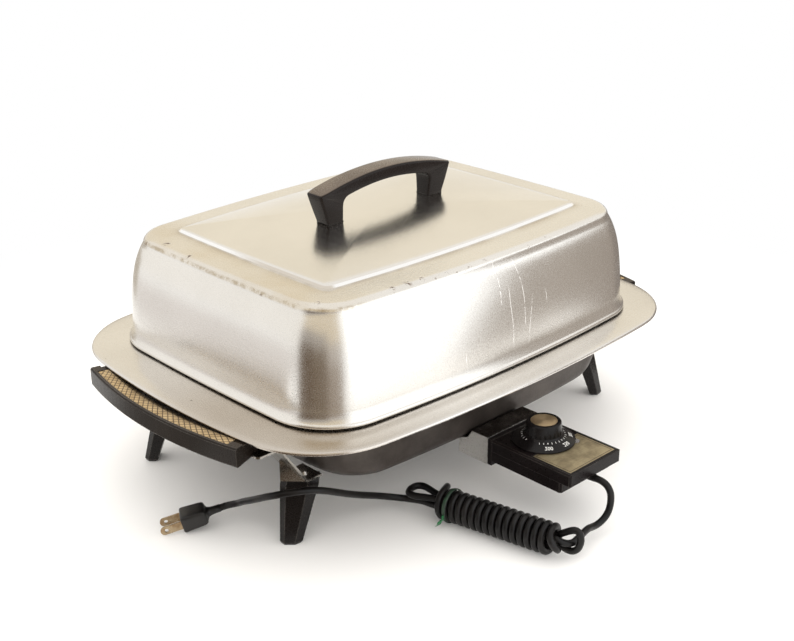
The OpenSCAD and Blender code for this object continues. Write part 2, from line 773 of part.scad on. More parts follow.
// ---- heat control: a nose with two contact sleeves and the sensor probe, and a two-part housing ----
ctrl_x = ctrl_w / 2;
ctrl_low = ctrl_top - ctrl_h;
split_z = ctrl_top - cover_h;
mouth_gap = 0.3;
flange_face = shroud_reach + mouth_gap;
flange_t = 3.9;
tray_start = flange_face + flange_t;
base_end = ctrl_reach - base_short;
tray_floor = ctrl_low + 1.6;
tray_x = ctrl_x - 0.5;
nose_x = 24;
nose_end = 8.9 - shroud_back;
nose_low = shroud_low + 2.3;
nose_top = 44;
sleeve_d = 8;
sleeve_end = nose_end + 1;
post_x = ctrl_x - 6;
post_y = [tray_start + 8.5, base_end - 8];
post_d = 6.6;
house_screw_d = 2.6;
house_head_d = 5;
house_head_t = 1.6;
house_sink = 0.4;
house_gap = 0.4;
relief_z = split_z - 3.6;
relief_d = 6.8;
corner_cut = 1.6;

// A block from y0 to y1 in front of the origin whose upright corners are cut off
module block(x, y0, y1, z0, z1) {
    c = corner_cut;
    translate([0, 0, z0]) linear_extrude(z1 - z0)
        polygon([
            [-x, -y0], [-x, -y1 + c], [-x + c, -y1], [x - c, -y1], [x, -y1 + c], [x, -y0]
        ]);
}
module box(x, y0, y1, z0, z1) {
    translate([-x, -y1, z0]) cube([2 * x, y1 - y0, z1 - z0]);
}
module along_y(x, y0, y1, z, d) {
    translate([x, -y0, z]) rotate([90, 0, 0]) cylinder(d = d, h = y1 - y0);
}
module at_posts(z) {
    for (x = [-post_x, post_x], y = post_y)
        translate([x, -y, z]) children();
}
module control_base() {
    color("#2a2422")
    difference() {
        union() {
            box(ctrl_x, flange_face, tray_start, shroud_low + 0.5, ctrl_top);
            box(nose_x, nose_end, flange_face + 1, nose_low, nose_top);
            difference() {
                block(tray_x, tray_start - 1, base_end, ctrl_low, split_z);
                box(tray_x - ctrl_wall, tray_start, base_end - ctrl_wall, tray_floor, split_z + 1);
            }
            at_posts(ctrl_low) cylinder(d = post_d, h = split_z - ctrl_low);
        }
        for (x = [-pin_span / 2, pin_span / 2]) {
            along_y(x, sleeve_end, tray_start - 0.5, element_z, sleeve_d + 0.1);
            along_y(x, nose_end - 1, sleeve_end + 1, element_z, pin_d + 1);
        }
        along_y(0, nose_end - 1, tray_start - 0.5, probe_z, probe_d + 0.1);
        along_y(0, base_end - 2 * ctrl_wall, base_end + 1, relief_z, relief_d + 0.1);
        at_posts(ctrl_low - 1) {
            cylinder(d = house_screw_d + house_gap, h = ctrl_h);
            cylinder(d = house_head_d + house_gap, h = 1 + house_sink + house_head_t);
        }
    }
}

dial_out = 30.2;
dial_reach = shroud_reach + dial_out;
lens_share = 0.353;
lens_at = [15, -dial_reach - (ctrl_reach - dial_reach) * lens_share];
cavity_end = ctrl_reach - 10;
shaft_gap = 0.05;
label_depth = 0.6;
label_x = ctrl_x - 3.5;
label_y0 = dial_reach + 12;
label_y1 = ctrl_reach - 3;
label_gap = 0.2;
cover_round = 1.2;
lens_t = 5;
lens_wall = 1.5;
module control_cover() {
    color("#2a2422")
    difference() {
        intersection() {
            block(ctrl_x, tray_start + 0.3, ctrl_reach, split_z, ctrl_top);
            translate([0, -tray_start, 0]) rotate([90, 0, 0]) linear_extrude(ctrl_reach - tray_start)
                polygon([
                    [-ctrl_x, split_z], [ctrl_x, split_z],
                    [ctrl_x, ctrl_top - cover_round], [ctrl_x - cover_round, ctrl_top],
                    [-ctrl_x + cover_round, ctrl_top], [-ctrl_x, ctrl_top - cover_round]
                ]);
        }
        difference() {
            box(ctrl_x - ctrl_wall, tray_start + ctrl_wall, cavity_end, split_z - 1, ctrl_top - ctrl_wall);
            at_posts(split_z) cylinder(d = post_d, h = cover_h);
        }
        at_posts(split_z - 1) cylinder(d = house_screw_d + 0.1, h = 7);
        translate([0, -dial_reach, split_z]) cylinder(d = shaft_d + 2 * shaft_gap, h = cover_h + 1);
        translate([lens_at[0], lens_at[1], split_z]) cylinder(d = lens_d + 0.1, h = cover_h + 1);
        box(label_x, label_y0, label_y1, ctrl_top - label_depth, ctrl_top + 1);
    }
}
module label_plate() {
    color("#a5966e")
    difference() {
        box(label_x - label_gap, label_y0 + label_gap, label_y1 - label_gap,
            ctrl_top - label_depth, ctrl_top - 0.1);
        translate([lens_at[0], lens_at[1], split_z]) cylinder(d = lens_d + 0.3, h = cover_h);
    }
}
module pilot_lens() {
    color("#8a3a20")
    translate([lens_at[0], lens_at[1], 0])
        difference() {
            translate([0, 0, ctrl_top - lens_t]) cylinder(d = lens_d, h = lens_t);
            translate([0, 0, ctrl_top - lens_t - 1]) cylinder(d = lens_d - 2 * lens_wall, h = lens_t + 1 - lens_wall);
        }
}
module pilot_lamp() {
    color("#d0a080")
    translate([lens_at[0], lens_at[1], tray_floor]) 
        cylinder(d = lens_d - 2 * lens_wall - 0.2, h = ctrl_top - lens_wall - 0.1 - tray_floor);
}
probe_l = tray_start + socket_back - 10;
probe_tip = [3, 2];
module sensor_probe() {
    color("silver")
    translate([0, -tray_start + 0.5, probe_z]) rotate([-90, 0, 0]) {
        cylinder(d = probe_d, h = probe_l);
        translate([0, 0, probe_l]) cylinder(d1 = probe_d, d2 = probe_d - probe_tip[0], h = probe_tip[1]);
    }
}
module contact_sleeves() {
    color("goldenrod")
    for (x = [-pin_span / 2, pin_span / 2])
        difference() {
            along_y(x, sleeve_end, tray_start - 0.5, element_z, sleeve_d);
            along_y(x, sleeve_end - 1, tray_start - 2, element_z, pin_d + 0.1);
        }
}

frame_x = 7.5;
frame_top = split_z - 1.2;
frame_y = [4, 16];
pivot_y = 10;
pivot_d = 2.5;
blade_t = 0.8;
blade_x = 3.5;
blade_past = 5;
module thermostat_frame() {
    color("white")
    difference() {
        box(frame_x, tray_start + frame_y[0], tray_start + frame_y[1], tray_floor, frame_top);
        translate([0, -tray_start - pivot_y, tray_floor + 2]) cylinder(d = pivot_d, h = cover_h);
    }
}
module thermostat_blade() {
    color("silver") {
        box(blade_x, tray_start + frame_y[0] + 0.5, dial_reach + blade_past, frame_top, frame_top + blade_t);
        translate([0, -tray_start - pivot_y, tray_floor + 2])
            cylinder(d = pivot_d - 0.1, h = frame_top - tray_floor - 2);
    }
}
module control_screws() {
    color("silver")
    at_posts(0) {
        translate([0, 0, ctrl_low + house_sink]) cylinder(d = house_head_d, h = house_head_t);
        translate([0, 0, ctrl_low + house_sink]) cylinder(d = house_screw_d, h = split_z + 5 - ctrl_low);
    }
}
relief_thin = cord_d + 0.5;
relief_l = 20;
module strain_relief() {
    color("#1c1c1e") {
        along_y(0, ctrl_reach - relief_l, base_end + 1, relief_z, relief_d);
        translate([0, -base_end - 1, relief_z]) rotate([90, 0, 0])
            cylinder(d1 = relief_d, d2 = relief_thin, h = ctrl_reach - base_end - 1);
    }
}

// ---- dial ----
skirt_z = ctrl_top + skirt_gap;
knob_top = ctrl_top + knob_h;
knob_low_r = knob_d / 2 + 1.1;
skirt_edge = 0.9;
knob_foot = 1.2;
knob_round = 0.8;
flutes = 24;
flute_d = 2;
flute_out = 0.35;
shaft_low = frame_top + blade_t + 0.3;
shaft_top = knob_top - 5;
collar_d = 10;
cap_t = 0.8;
cap_step = [3, 5, 0.3];
collar_t = 2;
collar_gap = 0.3;
module dial_knob() {
    color("#2a2422")
    translate([0, -dial_reach, 0])
        difference() {
            rotate_extrude()
                polygon([
                    [0, skirt_z], [skirt_d / 2, skirt_z], [skirt_d / 2, skirt_z + skirt_edge],
                    [knob_low_r + 1, skirt_z + skirt_h], [knob_low_r, skirt_z + skirt_h + knob_foot],
                    [knob_d / 2, knob_top - knob_round], [knob_d / 2 - knob_round, knob_top],
                    [cap_d / 2, knob_top], [cap_d / 2, knob_top - cap_t], [0, knob_top - cap_t]
                ]);
            translate([0, 0, skirt_z - 1]) cylinder(d = shaft_d + 0.1, h = shaft_top - skirt_z + 1);
            for (a = [0 : 360 / flutes : 359])
                rotate([0, 0, a]) translate([knob_low_r + flute_out, 0, skirt_z + skirt_h + knob_foot + 0.4])
                    cylinder(d = flute_d, h = knob_top, $fn = 8);
        }
}
module dial_cap() {
    color("#b08a58")
    translate([0, -dial_reach, knob_top - cap_t]) {
        cylinder(d = cap_d - 0.1, h = cap_t - 0.1);
        translate([0, 0, cap_t - 0.1]) cylinder(d1 = cap_d - cap_step[0], d2 = cap_d - cap_step[1], h = cap_step[2]);
    }
}
module dial_shaft() {
    color("silver")
    translate([0, -dial_reach, 0]) {
        translate([0, 0, shaft_low]) cylinder(d = shaft_d, h = shaft_top - shaft_low);
        translate([0, 0, ctrl_top - ctrl_wall - collar_gap - collar_t]) cylinder(d = collar_d, h = collar_t);
    }
}

// ---- cord: a hank wound round its own three runs, left of the heat control ----
hank_at = [-75, -144];
hank_turn = -78;
run = (cord_d + cord_gap) / 2;
wrap_r = run * sqrt(2) + cord_d + cord_gap;
pitch = cord_d + cord_gap;
lead = 1.1;
tie_t = 0.6;
tie_gap = 0.25;
tie_w = 3.6;
tie_s = 9;
tail_d = 1.6;
tail_l = 9;
tail_turns = [142, 150];
hank_z = wrap_r + cord_d / 2 + tie_gap + tie_t + 0.05;
hank_l = hank_turns * pitch + 2 * lead;
eye_l = 28;
eye_l_wide = 16;
eye_r = 27.6;
eye_r_wide = 15.5;
in_bend = 11.4;
in_s = hank_l + 1.6;
in_v = -0.4;
straight = 5.5;
out_s = -10.5;

function bezier(p, q, r, s, n) =
    [for (i = [1 : n]) let (t = i / n, m = 1 - t) m * m * m * p + 3 * m * m * t * q + 3 * m * t * t * r + t * t * t * s];
function line(p, q, fs) = [for (f = fs) p * (1 - f) + q * f];

// The hank's centre line: s along its axis, u across it, v upward
hank_path = concat(
    [[in_s + in_bend, in_bend - run + 2 * straight, in_v], [in_s + in_bend, in_bend - run + straight, in_v]],
    [for (a = [0 : 15 : 90])
        [in_s + in_bend * cos(a), in_bend - run - in_bend * sin(a), in_v + (run - in_v) * pow(sin(a), 4.6)]],
    line([hank_l, -run, run], [0, -run, run], [0.25, 0.5, 0.75]),
    [for (a = [0 : 10 : 180]) [-eye_l * sin(a), -cos(a) * (run + eye_l_wide * sin(a) * sin(a)), run]],
    line([0, run, run], [hank_l, run, run], [0.25, 0.5, 0.75]),
    [for (a = [0 : 10 : 180])
        [hank_l + eye_r * sin(a), run + 0.3 * sin(a), cos(a) * (run + eye_r_wide * pow(abs(sin(a)), 1.2))]],
    line([hank_l, run, -run], [0, run, -run], [0.25, 0.5, 0.75, 1]),
    bezier([0, run, -run], [-14.3, run + 1.5, -run - 4], [lead - 3.7, 25, wrap_r], [lead, 0, wrap_r], 14),
    [for (i = [1 : hank_turns * 24])
        [lead + pitch * i / 24, wrap_r * cos(90 + 15 * i), wrap_r * sin(90 + 15 * i)]],
    bezier([hank_l - lead, 0, wrap_r], [hank_l - lead + 3.7, -25, wrap_r],
        [hank_l + 14.3, -run - 1.5, -run - 4], [hank_l, -run, -run], 14),
    line([hank_l, -run, -run], [0, -run, -run], [0.25, 0.5, 0.75, 1]),
    [[out_s + straight, -run, -run], [out_s, -run, -run]]
);
function finer(p, step) = [
    for (i = [0 : len(p) - 2])
        let (n = ceil(norm(p[i + 1] - p[i]) / step))
        for (k = [0 : n - 1]) p[i] + (p[i + 1] - p[i]) * k / n
];
check = finer(hank_path, 3);
hank_gap = min([
    for (i = [0 : 2 : len(check) - 9])
        min([for (j = [i + 8 : len(check) - 1]) norm(check[i] - check[j])])
]) - cord_d;
function path_length(p) = [for (i = [1 : len(p) - 1]) norm(p[i] - p[i - 1])] * [for (i = [1 : len(p) - 1]) 1];

function hank_place(p) = [
    hank_at[0] + p[0] * cos(hank_turn) - p[1] * sin(hank_turn),
    hank_at[1] + p[0] * sin(hank_turn) + p[1] * cos(hank_turn),
    hank_z + p[2]
];
hank_first = hank_place(hank_path[0]);
hank_last = hank_place(hank_path[len(hank_path) - 1]);
u_dir = [-sin(hank_turn), cos(hank_turn), 0];
s_dir = [cos(hank_turn), sin(hank_turn), 0];

module at_hank() {
    translate([hank_at[0], hank_at[1], hank_z]) rotate([0, 0, hank_turn]) children();
}
module cord_hank() {
    color("#26262a") at_hank() tube(hank_path, cord_d, 6);
    echo(least_gap_of_hank = hank_gap);
    echo(cord_length = path_length(to_hank) + path_length(hank_path) + path_length(to_plug));
    echo(hank_first = hank_first, hank_last = hank_last, cord_end = cord_end);
}
module twist_tie() {
    r = wrap_r + cord_d / 2 + tie_gap;
    color("green")
    at_hank() translate([tie_s, 0, 0]) rotate([0, 90, 0]) {
        rotate_extrude(start = 0, angle = 360) translate([r, -tie_w / 2]) square([tie_t, tie_w]);
        for (a = tail_turns)
            rotate([0, 0, a]) translate([r + 0.2, 0, 0]) rotate([0, 90, 0]) cylinder(d = tail_d, h = tail_l);
    }
}
to_hank = concat(
    [
        [0, -ctrl_reach, relief_z], [0, -234, relief_z], [0, -237.8, 37.8], [0, -241.1, 35.7],
        [0, -243.2, 32.4], [0, -244, 28.6], [-0.5, -244.2, 23.5], [-2, -244, 18.5], [-5, -243.2, 14],
        [-9.5, -242.2, 11], [-14.5, -241.2, 9.8], [-19.5, -240.9, 10.6], [-24, -241.4, 12.4]
    ],
    [hank_first + straight * u_dir, hank_first]
);
module cord_to_hank() {
    color("#26262a") tube(to_hank, cord_d, 10);
}

plug_at = [-206, -32, 13.6];
plug_turn = 148.3;
plug_dip = 14;
plug_dir = [cos(plug_dip) * cos(plug_turn), cos(plug_dip) * sin(plug_turn), -sin(plug_dip)];
nub_l = 6;
plug_l = 24;
plug_w = 25;
plug_t = 16;
cord_end = plug_at - nub_l * plug_dir;
to_plug = concat(
    [hank_last, hank_last - straight * s_dir],
    [
        [-83, -122, 9.6], [-86.5, -115.5, 9.4], [-93, -110.5, 11], [-101, -108, 14], [-110, -107, 18],
        [-123, -107.3, 24], [-136, -108, 30.5], [-147, -108.5, 36.5], [-157, -109, 42], [-168, -108.5, 47],
        [-178, -106, 49.5], [-187, -101, 49.5], [-193, -93.5, 47], [-195.5, -84, 42.5], [-195.5, -70, 34.5],
        [-194, -56, 26.5], [-193, -46.5, 20.5]
    ],
    [cord_end - straight * plug_dir, cord_end]
);
module cord_to_plug() {
    color("#26262a") tube(to_plug, cord_d, 10);
}
module at_plug() {
    translate(plug_at) rotate([0, 90 + plug_dip, plug_turn]) children();
}
blade_w = 6.35;
plug_blade_t = 1.5;
blade_span = 12.7;
blade_out = 16.5;
blade_in = 6;
module plug_body() {
    w = plug_w / 2;
    t = plug_t / 2;
    c = 4;
    color("#26262a")
    at_plug() difference() {
        union() {
            intersection() {
                linear_extrude(plug_l)
                    polygon([[-t + c, -w], [t - c, -w], [t, -w + c], [t, w - c], [t - c, w], [-t + c, w], [-t, w - c], [-t, -w + c]]);
                translate([-t, 0, 0]) rotate([90, 0, 90]) linear_extrude(plug_t)
                    polygon([
                        [-w + 5, 0], [w - 5, 0], [w - 1, 4], [w - 3.5, 10], [w - 3.5, 15], [w, 19], [w, plug_l - 1],
                        [w - 1, plug_l], [-w + 1, plug_l], [-w, plug_l - 1], [-w, 19], [-w + 3.5, 15],
                        [-w + 3.5, 10], [-w + 1, 4]
                    ]);
            }
            translate([0, 0, -nub_l]) cylinder(d1 = relief_thin, d2 = relief_thin + 2.4, h = nub_l + 0.5);
        }
        for (y = [-blade_span / 2, blade_span / 2])
            translate([-blade_w / 2, y - plug_blade_t / 2, plug_l - blade_in])
                cube([blade_w, plug_blade_t, blade_in + 1]);
    }
}
module plug_blades() {
    color("#a08050")
    at_plug()
        for (y = [-blade_span / 2, blade_span / 2])
            translate([0, y + plug_blade_t / 2, plug_l - blade_in]) rotate([90, 0, 0])
                linear_extrude(plug_blade_t)
                    difference() {
                        union() {
                            translate([-blade_w / 2, 0]) square([blade_w, blade_in + blade_out - blade_w / 2]);
                            translate([0, blade_in + blade_out - blade_w / 2]) circle(d = blade_w);
                        }
                        translate([0, blade_in + blade_out - 4.6]) circle(d = 3);
                    }
}

pan();
heating_element();
terminal_pins();
probe_socket();
shroud();
shroud_rivets();
handle_bosses();
handle_left();
handle_right();
handle_insert_left();
handle_insert_right();
bracket_front_left();
bracket_front_right();
bracket_back_left();
bracket_back_right();
foot_front_left();
foot_front_right();
foot_back_left();
foot_back_right();
handle_screws();
foot_screws();
lid_shell();
lid_handle();
lid_handle_screws();
control_base();
control_cover();
label_plate();
pilot_lens();
pilot_lamp();
sensor_probe();
contact_sleeves();
thermostat_frame();
thermostat_blade();
control_screws();
strain_relief();
cord_to_hank();
cord_hank();
twist_tie();
cord_to_plug();
plug_body();
plug_blades();
dial_knob();
dial_cap();
dial_shaft();
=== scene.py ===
"""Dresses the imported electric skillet: cord, pan, lid, marks and materials, in the CAD frame."""
import math
import bpy
import numpy as np
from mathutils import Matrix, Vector


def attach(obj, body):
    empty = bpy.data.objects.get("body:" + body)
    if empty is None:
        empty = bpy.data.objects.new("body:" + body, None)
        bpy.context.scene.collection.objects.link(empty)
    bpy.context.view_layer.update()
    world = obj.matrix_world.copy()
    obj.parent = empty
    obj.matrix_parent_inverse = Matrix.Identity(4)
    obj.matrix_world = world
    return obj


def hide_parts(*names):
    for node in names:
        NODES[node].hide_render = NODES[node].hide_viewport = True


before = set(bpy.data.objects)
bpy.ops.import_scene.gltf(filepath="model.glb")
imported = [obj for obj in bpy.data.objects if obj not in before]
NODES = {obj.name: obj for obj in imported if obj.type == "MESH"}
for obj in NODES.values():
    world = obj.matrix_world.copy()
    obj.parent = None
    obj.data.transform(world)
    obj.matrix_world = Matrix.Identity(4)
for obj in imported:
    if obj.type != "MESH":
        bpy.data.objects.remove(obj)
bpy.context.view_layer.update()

MM = 0.001  # metres in a millimetre


# ---- camera, fitted to the outlines in the photograph ----
CAMERA_AT = (-0.68787, -0.74153, 0.52529)
CAMERA_TURN = (67.018, 0.489, -43.736)
LENS, SENSOR = 59.33, 36


def placed(name, data):
    obj = bpy.data.objects.new(name, data)
    bpy.context.scene.collection.objects.link(obj)
    return obj


def add_camera():
    data = bpy.data.cameras.new("camera")
    data.lens = LENS
    data.sensor_width = SENSOR
    camera = placed("camera", data)
    camera.location = CAMERA_AT
    camera.rotation_euler = [math.radians(a) for a in CAMERA_TURN]
    bpy.context.scene.camera = camera


# ---- mesh helpers; lengths in millimetres ----
def add_mesh(name, points, faces, smooth=True):
    mesh = bpy.data.meshes.new(name)
    mesh.from_pydata([tuple(c * MM for c in p) for p in points], [], faces)
    mesh.validate()
    for polygon in mesh.polygons:
        polygon.use_smooth = smooth
    return placed(name, mesh)


def loft(name, rings, start=None, end=None):
    """A skin over closed rings of points, with an optional point that closes each end."""
    count = len(rings[0])
    points = [p for row in rings for p in row]
    faces = []
    for i in range(len(rings) - 1):
        for j in range(count):
            a, b = i * count + j, i * count + (j + 1) % count
            faces.append((a, b, b + count, a + count))
    if start is not None:
        points.append(start)
        faces += [(len(points) - 1, (j + 1) % count, j) for j in range(count)]
    if end is not None:
        points.append(end)
        last = (len(rings) - 1) * count
        faces += [(len(points) - 1, last + j, last + (j + 1) % count) for j in range(count)]
    return add_mesh(name, points, faces)


SPLITS = 12  # steps between two given points


def smooth_path(points, step):
    """Points every step along a Catmull-Rom curve through the given points."""
    p = np.array(points, float)
    p = np.vstack([2 * p[0] - p[1], p, 2 * p[-1] - p[-2]])
    fine = []
    for a, b, c, d in zip(p, p[1:], p[2:], p[3:]):
        for t in np.linspace(0, 1, SPLITS, endpoint=False):
            fine.append(0.5 * (2 * b + (c - a) * t + (2 * a - 5 * b + 4 * c - d) * t**2
                               + (3 * b - a - 3 * c + d) * t**3))
    fine.append(p[-2])
    fine = np.array(fine)
    along = np.concatenate([[0], np.cumsum(np.linalg.norm(np.diff(fine, axis=0), axis=1))])
    at = np.linspace(0, along[-1], int(along[-1] / step) + 1)
    return np.array([np.interp(at, along, fine[:, k]) for k in range(3)]).T


def tube_rings(path, radius, sides):
    """Circles square to the path, carried along it without twist."""
    heading = np.gradient(path, axis=0)
    heading /= np.linalg.norm(heading, axis=1)[:, None]
    side = np.array([0.3, 0.2, 0.93])  # any direction but the path's first
    rings = []
    for at, t in zip(path, heading):
        side = side - (side @ t) * t
        side /= np.linalg.norm(side)
        up = np.cross(t, side)
        rings.append([tuple(at + radius * (math.cos(a) * side + math.sin(a) * up))
                      for a in np.linspace(0, 2 * math.pi, sides, endpoint=False)])
    return rings


# ---- outlines: rounded rectangles with bowed sides, as in the CAD ----
# half length, half width, corner radius, and the radii of the long and the short sides' bows
RIM = (220, 167.7, 74.5, 1369, 795)
FLOOR = (149, 126, 40, 1369, 795)
LID = (184.2, 142, 52.2, 1508, 2664)
SIDE_STEPS = 8
CORNER_STEPS = 16


def inset(line, d):
    return tuple(v - d for v in line)


def between(a, b, t):
    return tuple(p * (1 - t) + q * t for p, q in zip(a, b))


def outline(line):
    """Points anticlockwise from +X: one quarter, mirrored."""
    lx, ly, r, bow_x, bow_y = line
    c1, c2 = np.array([0, ly - bow_x]), np.array([lx - bow_y, 0])  # the bows' centres
    v = c2 - c1
    d = math.hypot(*v)
    m = ((bow_x - r) ** 2 - (bow_y - r) ** 2 + d * d) / (2 * d)
    h = math.sqrt((bow_x - r) ** 2 - m * m)
    c = c1 + m * v / d + h * np.array([v[1], -v[0]]) / d
    a0 = math.atan2(c[1], c[0] - lx + bow_y)
    a1 = math.atan2(c[1] - ly + bow_x, c[0])

    def arc(cx, cy, radius, start, stop, steps):
        angles = np.linspace(start, stop, steps, endpoint=False)
        return [(cx + radius * math.cos(a), cy + radius * math.sin(a)) for a in angles]

    q = (arc(lx - bow_y, 0, bow_y, 0, a0, SIDE_STEPS) + arc(c[0], c[1], r, a0, a1, CORNER_STEPS)
         + arc(0, ly - bow_x, bow_x, a1, math.pi / 2, SIDE_STEPS) + [(0, ly)])
    body, back = q[:-1], q[:0:-1]
    return (body + [(-x, y) for x, y in back] + [(-x, -y) for x, y in body]
            + [(x, -y) for x, y in back])


def ring(line, z, scale=1.0):
    return [(x * scale, y * scale, z) for x, y in outline(line)]


def quarter_turn(steps):
    return [math.pi / 2 * i / steps for i in range(steps + 1)]


# ---- cord: one tube from the heat control through the hank to the plug ----
CORD_D = 5.3
PITCH = CORD_D + 0.5  # from one turn's centre to the next
RUN = PITCH / 2  # the four inner runs lie at (+-RUN, +-RUN) about the hank's axis
WRAP_R = RUN * math.sqrt(2) + PITCH
TURNS, TURN_STEPS = 16, 24
LEAD = 1.1  # from the hank's end to its first turn
HANK_L = TURNS * PITCH + 2 * LEAD
TIE_GAP, TIE_T, FLOOR_GAP = 0.25, 0.6, 0.05
HANK_AT = (-75, -144, WRAP_R + CORD_D / 2 + TIE_GAP + TIE_T + FLOOR_GAP)
HANK_TURN = math.radians(-78)
STRAIGHT = 5.5  # spacing of the points where the cord runs straight
LEFT_LOOP, LEFT_SPREAD = 28, 16  # reach and widening of the loop that shows past the tie
RIGHT_LOOP, RIGHT_SPREAD, RIGHT_LIFT = 19.5, 14, 5
CORD_STEP, CORD_SIDES, INTO_PLUG = 1.6, 14, 2


def bezier(p, q, r, s, n):
    p, q, r, s = map(np.array, (p, q, r, s))
    steps = [i / n for i in range(1, n + 1)]
    return [tuple((1 - t) ** 3 * p + 3 * t * (1 - t) ** 2 * q + 3 * t * t * (1 - t) * r + t**3 * s)
            for t in steps]


def hank_points():
    """Centre line in the hank's own frame, whose x runs along the bundle from its tied end."""
    sin, cos = lambda d: math.sin(math.radians(d)), lambda d: math.cos(math.radians(d))

    def run(y, z, *shares):
        return [(HANK_L * share, y, z) for share in shares]

    far, low, bend, late = HANK_L + 1.6, -0.4, 11.4, 4.6
    pts = [(far + bend, bend - RUN + k * STRAIGHT, low) for k in (2, 1)]
    pts += [(far + bend * cos(a), bend - RUN - bend * sin(a), low + (RUN - low) * sin(a) ** late)
            for a in range(0, 91, 15)]
    pts += run(-RUN, RUN, 0.75, 0.5, 0.25)
    pts += [(-LEFT_LOOP * sin(a), -cos(a) * (RUN + LEFT_SPREAD * sin(a) ** 2), RUN)
            for a in range(0, 181, 10)]
    pts += run(RUN, RUN, 0.25, 0.5, 0.75)
    pts += [(HANK_L + RIGHT_LOOP * sin(a), RUN + 0.3 * sin(a),
             cos(a) * (RUN + RIGHT_SPREAD * abs(sin(a)) ** 1.2) + RIGHT_LIFT * sin(a) ** 2)
            for a in range(0, 181, 10)]
    pts += run(RUN, -RUN, 0.75, 0.5, 0.25, 0)
    climb = [(0, RUN, -RUN), (-14.3, RUN + 1.5, -RUN - 4), (LEAD - 3.7, 25, WRAP_R), (LEAD, 0, WRAP_R)]
    pts += bezier(*climb, 14)
    pts += [(LEAD + PITCH * i / TURN_STEPS, WRAP_R * cos(90 + 15 * i), WRAP_R * sin(90 + 15 * i))
            for i in range(1, TURNS * TURN_STEPS + 1)]
    pts += bezier(*[(HANK_L - x, -y, z) for x, y, z in reversed(climb)], 14)
    pts += run(-RUN, -RUN, 0.75, 0.5, 0.25, 0)
    return pts + [(-5, -RUN, -RUN), (-5 - STRAIGHT, -RUN, -RUN)]


def from_hank(p):
    c, s = math.cos(HANK_TURN), math.sin(HANK_TURN)
    return (HANK_AT[0] + p[0] * c - p[1] * s, HANK_AT[1] + p[0] * s + p[1] * c, HANK_AT[2] + p[2])


PLUG_AT = np.array([-206, -32, 13.6])
PLUG_TURN, PLUG_DIP = math.radians(148.3), math.radians(14)
NECK, PLUG_L = 6, 24
PLUG_DIR = np.array([math.cos(PLUG_DIP) * math.cos(PLUG_TURN),
                     math.cos(PLUG_DIP) * math.sin(PLUG_TURN), -math.sin(PLUG_DIP)])
TO_HANK = [
    (0, -229, 38.6), (0, -234, 38.6), (0, -237.8, 37.8), (0, -241.1, 35.7), (0, -243.2, 32.4),
    (0, -244, 28.6), (-0.5, -244.3, 23.5), (-2, -244.2, 18.5), (-5, -243.7, 14.2),
    (-9.5, -243.0, 11.3), (-14.5, -242.6, 10.4), (-19.5, -242.8, 11.1), (-24, -243.5, 12.4)]
TO_PLUG = [
    (-83, -122, 9.6), (-86.5, -115.5, 9.4), (-93, -110.5, 11), (-101, -108, 14), (-110, -107, 18),
    (-123, -107.3, 24), (-136, -108, 30.5), (-147, -108.5, 36.5), (-157, -109, 42),
    (-168, -108.5, 47), (-178, -106, 49.5), (-187, -101, 49.5), (-193, -93.5, 47),
    (-195.5, -84, 42.5), (-195.5, -70, 34.5), (-194, -56, 26.5), (-193, -46.5, 20.5)]


def make_cord():
    middle = np.array([from_hank(p) for p in hank_points()])
    before, after = 2 * middle[0] - middle[1], 2 * middle[-1] - middle[-2]
    end = PLUG_AT - NECK * PLUG_DIR
    route = np.vstack([TO_HANK, before, middle, after, TO_PLUG, end - STRAIGHT * PLUG_DIR, end])
    path = np.vstack([smooth_path(route, CORD_STEP), end + INTO_PLUG * PLUG_DIR])
    rings = tube_rings(path, CORD_D / 2, CORD_SIDES)
    cord = loft("cord_line", rings, tuple(path[0]), tuple(path[-1]))
    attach(cord, "control")
    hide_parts("cord_to_hank", "cord_hank", "cord_to_plug")
    length = float(np.linalg.norm(np.diff(path, axis=0), axis=1).sum())
    return cord, [tuple(p * MM) for p in path], length * MM


def turned(points, at, axis_z, axis_x):
    """Places local points: z along axis_z, x along axis_x."""
    z = np.array(axis_z, float)
    x = np.array(axis_x, float)
    x = x - (x @ z) * z
    x /= np.linalg.norm(x)
    y = np.cross(z, x)
    return [tuple(np.array(at) + p[0] * x + p[1] * y + p[2] * z) for p in points]


def make_plug():
    """Moulded plug body: a round neck that swells into a slightly tapered block."""
    sections = [  # distance, half thickness, half width, squareness
        (-NECK, 2.95, 2.95, 2), (-1.5, 3.0, 3.0, 2), (1.5, 3.3, 3.3, 2), (3.6, 3.8, 3.9, 2.3),
        (4.6, 4.9, 5.8, 3.2), (5.4, 5.9, 7.7, 4.6), (6.6, 6.3, 8.4, 6), (10, 6.4, 8.6, 7),
        (16, 6.6, 8.9, 7), (22.6, 6.8, 9.2, 7), (23.6, 6.5, 8.9, 7), (PLUG_L, 5.9, 8.3, 7)]
    rings = []
    for z, t, w, k in sections:
        pts = []
        for a in np.linspace(0, 2 * math.pi, 48, endpoint=False):
            c, s = math.cos(a), math.sin(a)
            pts.append((math.copysign(abs(c) ** (2 / k), c) * t,
                        math.copysign(abs(s) ** (2 / k), s) * w, z))
        rings.append(turned(pts, PLUG_AT, PLUG_DIR, (0, 0, 1)))
    start = tuple(PLUG_AT - NECK * PLUG_DIR)
    plug = loft("plug_moulding", rings, start, tuple(PLUG_AT + PLUG_L * PLUG_DIR))
    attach(plug, "control")
    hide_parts("plug_body")
    return plug


TIE_AT, TIE_HALF = 9, 1.3  # place along the hank, half width
TAILS = ((100, 0.3), (113, -0.25))  # degrees round the hank, slant
TAIL_STEPS, TAIL_L = 14, 8.6


